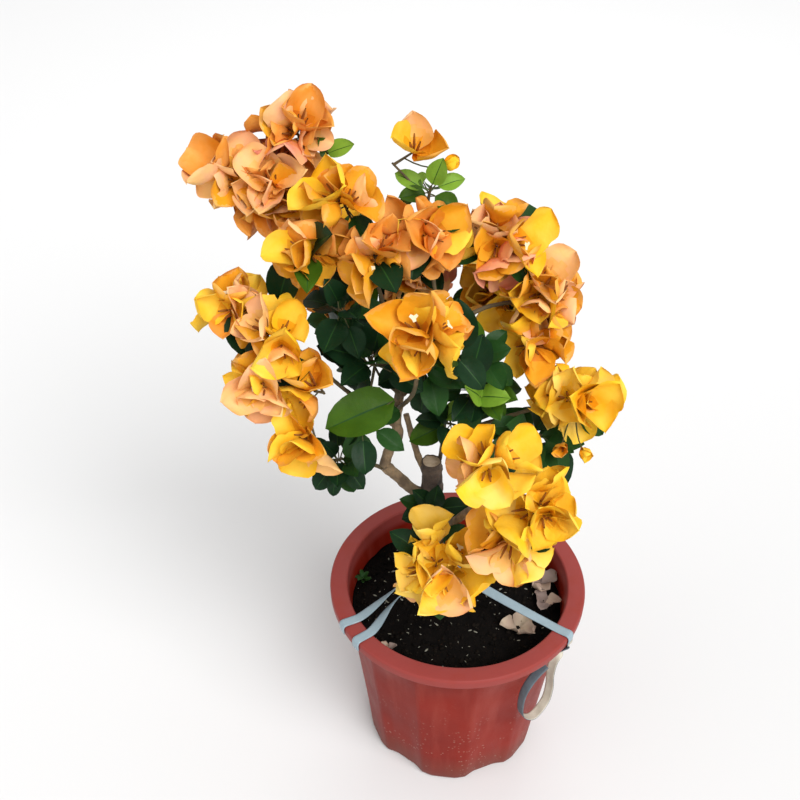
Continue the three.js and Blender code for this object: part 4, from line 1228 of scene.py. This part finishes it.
def makeStars(stars):
    bm = bmesh.new()
    points = flower["starPoints"]
    bmesh.ops.create_circle(bm, cap_ends=True, cap_tris=True, radius=1, segments=2 * points)
    places, faces = shapeOf(bm)
    around = np.arctan2(places[:, 1], places[:, 0])
    isTip = np.round(around / (math.pi / points)).astype(int) % 2 == 0
    ring = np.hypot(places[:, 0], places[:, 1])
    radius = flower["starRadius"] * ring * np.where(isTip, 1, flower["starNotch"])
    blocks = []
    for tip, way, out, turn in stars:
        side = unit(np.cross(way, out))
        third = np.cross(way, side)
        blocks.append(tip + side * (radius * np.cos(around + turn))[:, None]
                      + third * (radius * np.sin(around + turn))[:, None]
                      + way * (flower["starRise"] * radius)[:, None])
    addPiece("flower_stars", joinedMesh("flower_stars", blocks, faces), [flowerStar], "gold_bract")


makeBlossoms()
makeLeaves()
makeTwigs()
makeFlowers()
print("bracts, leaves, twigs and flowers are made")


# pot

potShape = {"footRadius": 90, "footChamfer": 3, "bodyTopRadius": 113, "wallFrom": 12, "wallRings": 22,
            "rimInner": 112, "lipDrop": 11.4, "collarRadius": 119, "collarDrop": 8, "collarSlope": 3,
            "rimRound": 1.5, "rimSlant": 0.2, "rimShoulder": 2.1, "rimCrown": 0.15, "wall": 3, "floor": 5,
            "lobes": 6, "lobeDepth": 3.2, "lobeFlatness": 1.5, "lobeFade": 1.5, "valley": 22.5, "panels": 12,
            "panelTurn": 7.5, "panelDepth": 0.9, "panelFade": 6, "turns": 192, "sharpFrom": 28,
            "edgeRound": 0.5}
lipBottom = pot["height"] - potShape["lipDrop"]
bodyTop = lipBottom - potShape["lipDrop"]


def wallRadius(z):
    return potShape["footRadius"] + (potShape["bodyTopRadius"] - potShape["footRadius"]) * z / bodyTop


def innerRadius(z):
    straight = min(wallRadius(z) - potShape["wall"], potShape["rimInner"])
    return straight - potShape["lobeDepth"] * (1 - z / pot["height"])


def potProfile():
    p = potShape
    top, rim, inner = pot["height"], pot["rimRadius"], p["rimInner"]
    rows = [(0, 0), (p["footRadius"] - p["footChamfer"], 0), (p["footRadius"], p["footChamfer"])]
    rows += [(wallRadius(z), z) for z in np.linspace(p["wallFrom"], bodyTop, p["wallRings"])]
    rows += [(p["collarRadius"], lipBottom - p["collarDrop"] + p["collarSlope"]),
             (p["collarRadius"], lipBottom), (rim - p["rimRound"], lipBottom),
             (rim - p["rimSlant"], lipBottom + p["rimRound"]), (rim, top - p["rimShoulder"]),
             (rim - p["rimRound"], top), ((rim + inner) / 2, top + p["rimCrown"]),
             (inner + p["rimRound"], top), (inner, top - p["rimRound"]),
             (innerRadius(bodyTop), bodyTop), (innerRadius(p["floor"]), p["floor"]), (0, p["floor"])]
    return rows


def wallScale(place, radius):
    # lobes that deepen towards the foot, and flat panels
    p = potShape
    around = math.atan2(place.x, -place.y)
    down = max(0, 1 - place.z / mm / bodyTop)
    wave = p["lobeFlatness"] * math.cos(p["lobes"] * (around - math.radians(p["valley"])))
    depth = p["lobeDepth"] * down ** p["lobeFade"] * max(-1, min(1, wave))
    panelAngle = 2 * math.pi / p["panels"]
    within = (around - math.radians(p["panelTurn"])) % panelAngle - panelAngle / 2
    flat = 1 - math.cos(panelAngle / 2) / math.cos(within)
    fade = min(1, p["panelFade"] * down)
    return (radius - depth - flat * radius * p["panelDepth"] * fade) / radius


def makePot():
    bm = bmesh.new()
    spinProfile(bm, [(r * mm, z * mm) for r, z in potProfile()], potShape["turns"])
    bmesh.ops.recalc_face_normals(bm, faces=bm.faces)
    inside = potShape["footRadius"] - potShape["footChamfer"] - potShape["rimRound"]
    for vert in bm.verts:
        radius = math.hypot(vert.co.x, vert.co.y) / mm
        if radius > inside and vert.co.z / mm < bodyTop + 1:
            scale = wallScale(vert.co, radius)
            vert.co.x *= scale
            vert.co.y *= scale
    sharp = [edge for edge in bm.edges
             if len(edge.link_faces) == 2 and edge.calc_face_angle(0) > math.radians(potShape["sharpFrom"])
             and abs(edge.verts[0].co.z - edge.verts[1].co.z) < 1e-5]
    bmesh.ops.bevel(bm, geom=sharp, offset=potShape["edgeRound"] * mm, affect="EDGES", segments=2,
                    profile=0.5, material=-1)
    addPiece("pot_shell", meshFrom(bm, "pot_shell"), [makePotMaterial()], "pot_plastic", "pot")


# heights of the finish are in metres: the first is where an effect starts, the second where it is full
potFinish = {"body": (0.19, 0.010, 0.004), "bodyOther": (0.25, 0.017, 0.008), "patches": (14, 0.9),
             "relief": (900, 0.12), "specular": 0.12, "rim": (0.30, 0.053, 0.046), "rimAt": (0.200, 0.208),
             "streak": (0.30, 0.045, 0.030), "streakStretch": (34, 34, 3.2), "streakScale": 1.6,
             "streakFrom": 0.5, "streakGain": 2.6, "dust": (0.42, 0.30, 0.24), "dustAt": (0.16, 0),
             "splashes": {"Scale": 230, "Size": 0.24, "Clump_Scale": 32, "Clump": 0.52}, "splashGain": 0.5,
             "mud": (0.13, 0.07, 0.05), "mudAt": (0.045, 0), "mudScale": 26, "roughness": (0.3, 0.3)}


def heightMask(tree, place, start, full):
    height = addNode(tree, "SeparateXYZ", Vector=place).outputs["Z"]
    return addNode(tree, "MapRange", Value=height, From_Min=start, From_Max=full).outputs["Result"]


def addStreaks(tree, place, color):
    # faded streaks that run down the wall
    stretch = addNode(tree, "Mapping", Vector=place, Scale=potFinish["streakStretch"])
    streaks = addNode(tree, "TexNoise", Vector=stretch.outputs["Vector"], Scale=potFinish["streakScale"],
                      Detail=6)
    mask = calculate(tree, "SUBTRACT", streaks.outputs["Fac"], potFinish["streakFrom"])
    mask = calculate(tree, "MULTIPLY", mask, potFinish["streakGain"])
    return mixColors(tree, calculate(tree, "MAXIMUM", mask, 0), color, potFinish["streak"])


def addSplashes(tree, place, color):
    # dry splashes, most of them near the foot
    specks = addNode(tree, "Group", {"node_tree": speckGroup}, Vector=place, **potFinish["splashes"])
    low = heightMask(tree, place, *potFinish["dustAt"])
    mask = calculate(tree, "MULTIPLY", specks.outputs["Mask"], low)
    mask = calculate(tree, "MULTIPLY", mask, potFinish["splashGain"])
    return mixColors(tree, mask, color, potFinish["dust"])


def makePotMaterial():
    material, tree, shader = newMaterial("pot_plastic", Specular_IOR_Level=potFinish["specular"])
    place = objectPlace(tree)
    mottle = addMottle(tree, potFinish["body"], potFinish["bodyOther"], *potFinish["patches"],
                       *potFinish["relief"])
    rimMask = heightMask(tree, place, *potFinish["rimAt"])
    color = mixColors(tree, rimMask, mottle.outputs["Color"], potFinish["rim"])
    color = addSplashes(tree, place, addStreaks(tree, place, color))
    grime = addNode(tree, "TexNoise", Vector=place, Scale=potFinish["mudScale"], Detail=8).outputs["Fac"]
    mudMask = calculate(tree, "MULTIPLY", heightMask(tree, place, *potFinish["mudAt"]), grime)
    feed(tree, shader, Base_Color=mixColors(tree, mudMask, color, potFinish["mud"]),
         Normal=mottle.outputs["Normal"],
         Roughness=calculate(tree, "MULTIPLY_ADD", grime, *potFinish["roughness"]))
    return material


makePot()
print("pot is made")


# potting mix: a lumpy bed, crumbs and pale flakes on it

soil = {"edgeDrop": 5, "flatShare": 0.4, "edgeShare": 0.86, "sink": 0.6, "rings": 60, "turns": 160,
        "lump": 2.2, "lumpScale": 0.06, "grain": 1.1, "grainScale": 0.35, "wallGap": 0.5, "crumbs": 1500,
        "crumbSize": (0.8, 2.6), "crumbWide": (0.7, 0.7), "crumbHigh": (0.5, 0.4), "crumbRise": 0.2,
        "crumbWallGap": 4, "paleShare": 0.12, "flake": (1.25, 0.45, 0.35)}
soilMaterial = mottledMaterial("potting_soil", (0.0035, 0.003, 0.0028), (0.008, 0.006, 0.005), 160, 0.7,
                               700, 1.0, 0.95, Specular_IOR_Level=0.06)
crumbMaterial = mottledMaterial("soil_crumb", (0.004, 0.0035, 0.003), (0.016, 0.012, 0.009), 90, 0.7,
                                900, 0.8, 0.95, Specular_IOR_Level=0.06)
paleBit = mottledMaterial("pale_bit", (0.30, 0.29, 0.24), (0.16, 0.16, 0.10), 200, 0.6, 900, 0.5, 0.9)
bedRadius = innerRadius(soilLevel - soil["edgeDrop"])


def soilHeight(x, y):
    # in millimetres: falls away towards the wall, with lumps
    radius = math.hypot(x, y) / pot["rimRadius"]
    fall = max(0, radius - soil["flatShare"]) / (soil["edgeShare"] - soil["flatShare"])
    height = soilLevel - soil["sink"] - soil["edgeDrop"] * min(fall, 1)
    height += soil["lump"] * noise.noise(Vector((x, y, 3)) * soil["lumpScale"])
    return height + soil["grain"] * noise.noise(Vector((x, y, 9)) * soil["grainScale"])


def onSoil(x, y, above):
    return np.array([x, y, soilHeight(x, y) + above])


def makeSoil():
    low = potShape["floor"] + 1
    rows = [(r * mm, soilLevel * mm) for r in np.linspace(0, bedRadius - soil["wallGap"], soil["rings"])]
    rows += [((innerRadius(low) - soil["wallGap"]) * mm, low * mm), (0, low * mm)]
    bm = bmesh.new()
    spinProfile(bm, rows, soil["turns"])
    for vert in bm.verts:
        if vert.co.z > 0.5 * soilLevel * mm:
            vert.co.z = soilHeight(vert.co.x / mm, vert.co.y / mm) * mm
    bmesh.ops.recalc_face_normals(bm, faces=bm.faces)
    addPiece("soil_bed", meshFrom(bm, "soil_bed"), [soilMaterial], "potting_soil", "soil")


def turnedBy(turn):
    return np.array([[math.cos(turn), -math.sin(turn), 0], [math.sin(turn), math.cos(turn), 0], [0, 0, 1]])


def makeCrumbs():
    random = makeRandom(5)
    bm = bmesh.new()
    bmesh.ops.create_icosphere(bm, subdivisions=1, radius=1)
    ball, faces = shapeOf(bm)
    blocks, indexes = [], []
    for _ in range(soil["crumbs"]):
        radius = (bedRadius - soil["crumbWallGap"]) * math.sqrt(random())
        around = 2 * math.pi * random()
        size = soil["crumbSize"][0] + (soil["crumbSize"][1] - soil["crumbSize"][0]) * random() ** 3
        squash = np.array([pick(soil[key], random) for key in ("crumbWide", "crumbWide", "crumbHigh")])
        turn = 2 * math.pi * random()
        isPale = random() < soil["paleShare"]
        middle = onSoil(radius * math.cos(around), radius * math.sin(around), soil["crumbRise"] * size)
        shape = ball * squash * size * (soil["flake"] if isPale else (1, 1, 1))
        blocks.append(shape @ turnedBy(turn).T + middle)
        indexes.append(1 if isPale else 0)
    mesh = joinedMesh("soil_crumbs", blocks, faces, np.repeat(indexes, len(faces)))
    addPiece("soil_crumbs", mesh, [crumbMaterial, paleBit], "potting_soil")


makeSoil()
makeCrumbs()
print("soil is made")


# what lies and sprouts on the soil: fallen bracts gone dry, and a seedling

fallen = [{"place": (90, 20), "turn": 0.4, "size": 0.66}, {"place": (92, -6), "turn": 2.2, "size": 0.5},
          {"place": (63, -41), "turn": 1.2, "size": 0.68}, {"place": (58, 34), "turn": 3.0, "size": 0.55},
          {"place": (-71, -67), "turn": 0.2, "size": 0.3}]
dry = {**petal, "wave": 0.15, "cup": 0.25, "tipCurl": 0.0, "above": 2.5, "tilt": 0.25, "lean": (0.95, 0.3),
       "curl": (0.55, -0.45), "witheredShare": 0.4}
seedling = {"place": (-98, 27), "leaves": 8, "columns": 4, "rows": 5, "length": 11, "size": (0.7, 0.4),
            "widthShare": 0.6, "above": 1, "step": 0.9, "lean": (0.7, 1.5)}


levelSides = np.array([[1.0, 0, 0], [0, 1.0, 0]])


def makeFallenBracts():
    random = makeRandom(6)
    faces = petalTemplate[2]
    rows, indexes = [], []
    for item in fallen:
        base = onSoil(*item["place"], dry["above"])
        axis = unit([dry["tilt"] * (random() - 0.5), dry["tilt"] * (random() - 0.5), 1])
        for k in range(3):
            flat = outAt(*levelSides, item["turn"] + k * 2 * math.pi / 3)
            out = unit(np.cross(np.cross(axis, flat), axis))
            lean = pick(dry["lean"], random)
            rows.append((base, axis, out, bract["length"] * item["size"], bract["width"] * item["size"],
                         (lean + dry["curl"][0], lean + dry["curl"][1]), drawPhase(random)))
            tint = "withered" if random() < dry["witheredShare"] else "dried"
            indexes.append(np.full(len(faces), bractMaterialNames.index(tint)))
    blocks = bendPetals(petalTemplate, bractProfiles, dry, rows)
    mesh = joinedMesh("fallen_bracts", blocks, faces, np.concatenate(indexes))
    addPiece("fallen_bracts", mesh, list(bractMaterials.values()), "orange_bract")


def makeSeedling():
    random = makeRandom(4)
    template = gridTemplate(seedling["columns"], seedling["rows"])
    rows = []
    for k in range(seedling["leaves"]):
        out = outAt(*levelSides, k * goldenAngle)
        base = onSoil(*seedling["place"], seedling["above"] + seedling["step"] * k) + out
        length = seedling["length"] * pick(seedling["size"], random)
        rows.append((base, np.array([0, 0, 1.0]), out, length, seedling["widthShare"] * length,
                     seedling["lean"], drawPhase(random)))
    mesh = joinedMesh("seedling", bendPetals(template, leafProfiles, blade, rows), template[2])
    addPiece("seedling", mesh, [leafMaterials["mid"]], "leaf")


makeFallenBracts()
makeSeedling()
print("fallen bracts and the seedling are made")


# strapping: a band's keys are places on its middle line, each with the direction of the band's width

strap = {"width": 9.5, "thickness": 0.9, "shellShare": 0.8, "bow": 0.25, "leftAngles": (-62, -51),
         "rightAngle": 55, "aboveRim": 5, "trunkRadius": 13.1, "end": 2, "ease": 0.2, "stepsBetween": 8,
         "columns": 6}
strap["off"] = gap + strap["thickness"] / 2


def onRing(degrees, radius, z):
    turn = math.radians(degrees)
    return np.array([radius * math.sin(turn), -radius * math.cos(turn), z])


def crossRim(degrees):
    top = pot["height"] + strap["off"]
    outside = pot["rimRadius"] + strap["off"]
    inner, rimRound, ease = potShape["rimInner"], potShape["rimRound"], strap["ease"]
    rows = [(outside, lipBottom + strap["end"]), (outside + ease, pot["height"] - rimRound),
            (pot["rimRadius"] - rimRound / 2, top + 2 * ease),
            ((pot["rimRadius"] + inner) / 2, top + ease / 2), (inner - rimRound, top + ease / 2)]
    return [(onRing(degrees, radius, z), onRing(degrees + 90, 1, 0)) for radius, z in rows]


def passTrunk(degrees, drop=0):
    foot, above = np.array(trunk["points"][0], float), np.array(trunk["points"][1], float)
    height = pot["height"] + strap["aboveRim"]
    middle = foot + (above - foot) * (height - foot[2]) / (above[2] - foot[2])
    return middle + onRing(degrees, strap["trunkRadius"], -drop), np.array([0, 0, 1.0])


def longStrand():
    height = pot["height"]
    return [*crossRim(strap["leftAngles"][0]), ((-60, -14, height + 3.5), (0.3, -0.4, 0.85)),
            *[passTrunk(degrees) for degrees in (-125, -150, 180, 150, 125)],
            ((24, -16, height + 4.5), (0.5, 0.8, 0.35)), *crossRim(strap["rightAngle"])[::-1]]


def shortStrand():
    height = pot["height"]
    return [*crossRim(strap["leftAngles"][1]), ((-62, -30, height + 2), (0.3, -0.4, 0.8)),
            *[passTrunk(degrees, 3) for degrees in (-55, -25, 5)], ((8, -15, height + 0.5), (0.4, 0.7, 0.6))]


def strapLoop():
    # angle round the pot, radius, and height from the bottom of the rim
    rim = pot["rimRadius"] + strap["off"]
    turningIn = [(strap["rightAngle"], rim, strap["end"] - gap), (strap["rightAngle"], rim, -strap["end"]),
                 (52.5, 127.5, -5.6)]
    hanging = [(49.5, 123, -17), (48, 121.8, -37), (49, 121.5, -61), (46.5, 121.5, -79), (38, 121.5, -87),
               (31, 121.5, -73), (29.8, 121.5, -53), (31, 122.5, -33), (35, 123.5, -18), (41, 125, -8)]
    keys = [(onRing(a, r, lipBottom + rise), onRing(a + 90, 1, 0)) for a, r, rise in turningIn]
    return keys + [(onRing(a, r, lipBottom + rise), onRing(a, 1, 0)) for a, r, rise in hanging]


def makeBand(name, keys, materials, node):
    middle = Curve([key[0] for key in keys])
    across, along, faces = gridTemplate(strap["columns"], (len(keys) - 1) * strap["stepsBetween"])
    ahead = unit(middle.at(np.minimum(along + 1e-4, 1)) - middle.at(np.maximum(along - 1e-4, 0)))
    wide = Curve([key[1] for key in keys]).at(along)
    wide = unit(wide - ahead * np.sum(wide * ahead, axis=1, keepdims=True))
    bow = np.cross(wide, ahead) * (strap["bow"] * (1 - across ** 2))[:, None]
    block = middle.at(along) + wide * (across * strap["width"] / 2)[:, None] + bow
    mesh = joinedMesh(name, [block], faces)
    # the ribs follow a map of the band: across it, and along it in centimetres
    uvs = mesh.uv_layers.new(name="band")
    loops = np.array([loop.vertex_index for loop in mesh.loops])
    uvs.data.foreach_set("uv", np.column_stack([across[loops], along[loops] * middle.length / 10]).ravel())
    piece = addPiece(name, mesh, materials, "strap_plastic", node)
    solidify = piece.modifiers.new("thickness", "SOLIDIFY")
    solidify.thickness = strap["thickness"] * mm * strap["shellShare"]
    solidify.offset = 0
    solidify.material_offset = len(materials) - 1


strapFinish = {"face": (0.29, 0.40, 0.46), "faceOther": (0.19, 0.27, 0.32), "patches": (60, 0.5),
               "relief": (500, 0.1), "roughness": 0.4, "coat": 0.2, "ribs": 26, "ribRelief": 0.35,
               "ribHeight": 0.0003, "ribHighlightColor": (0.50, 0.60, 0.65), "ribHighlightMix": (0.12, 0.15)}


def makeStrapMaterial():
    # raised ribs along the band, and a paler colour painted along them as a highlight
    material, tree, shader = newMaterial("strap_plastic", Roughness=strapFinish["roughness"],
                                         Coat_Weight=strapFinish["coat"])
    mottle = addMottle(tree, strapFinish["face"], strapFinish["faceOther"], *strapFinish["patches"],
                       *strapFinish["relief"])
    band = addNode(tree, "UVMap", {"uv_map": "band"}).outputs["UV"]
    acrossBand = addNode(tree, "SeparateXYZ", Vector=band).outputs["X"]
    ribs = calculate(tree, "SINE", calculate(tree, "MULTIPLY", acrossBand, strapFinish["ribs"]))
    bump = addNode(tree, "Bump", Strength=strapFinish["ribRelief"], Distance=strapFinish["ribHeight"],
                   Height=ribs, Normal=mottle.outputs["Normal"])
    # painted highlight: a paler colour where the ribs stand highest
    ribHighlightMask = calculate(tree, "MULTIPLY_ADD", ribs, *strapFinish["ribHighlightMix"])
    feed(tree, shader, Normal=bump.outputs["Normal"],
         Base_Color=mixColors(tree, ribHighlightMask, mottle.outputs["Color"], strapFinish["ribHighlightColor"]))
    return material


def makeStraps():
    blue = makeStrapMaterial()
    cream = mottledMaterial("strap_lining", (0.62, 0.58, 0.48), (0.40, 0.37, 0.29), 70, 0.8, 500, 0.2, 0.5)
    # the loop is the same blue strap: this slate grey is painted shade on it
    shadedStrap = mottledMaterial("strap_painted_shade", (0.115, 0.15, 0.175), (0.07, 0.09, 0.105), 70, 0.8, 500, 0.2, 0.5)
    makeBand("strap_long_band", longStrand(), [blue], "strap_long")
    makeBand("strap_short_band", shortStrand(), [blue], "strap_short")
    makeBand("strap_loop_band", strapLoop(), [shadedStrap, cream], "strap_loop")


makeStraps()
print("strapping is made")
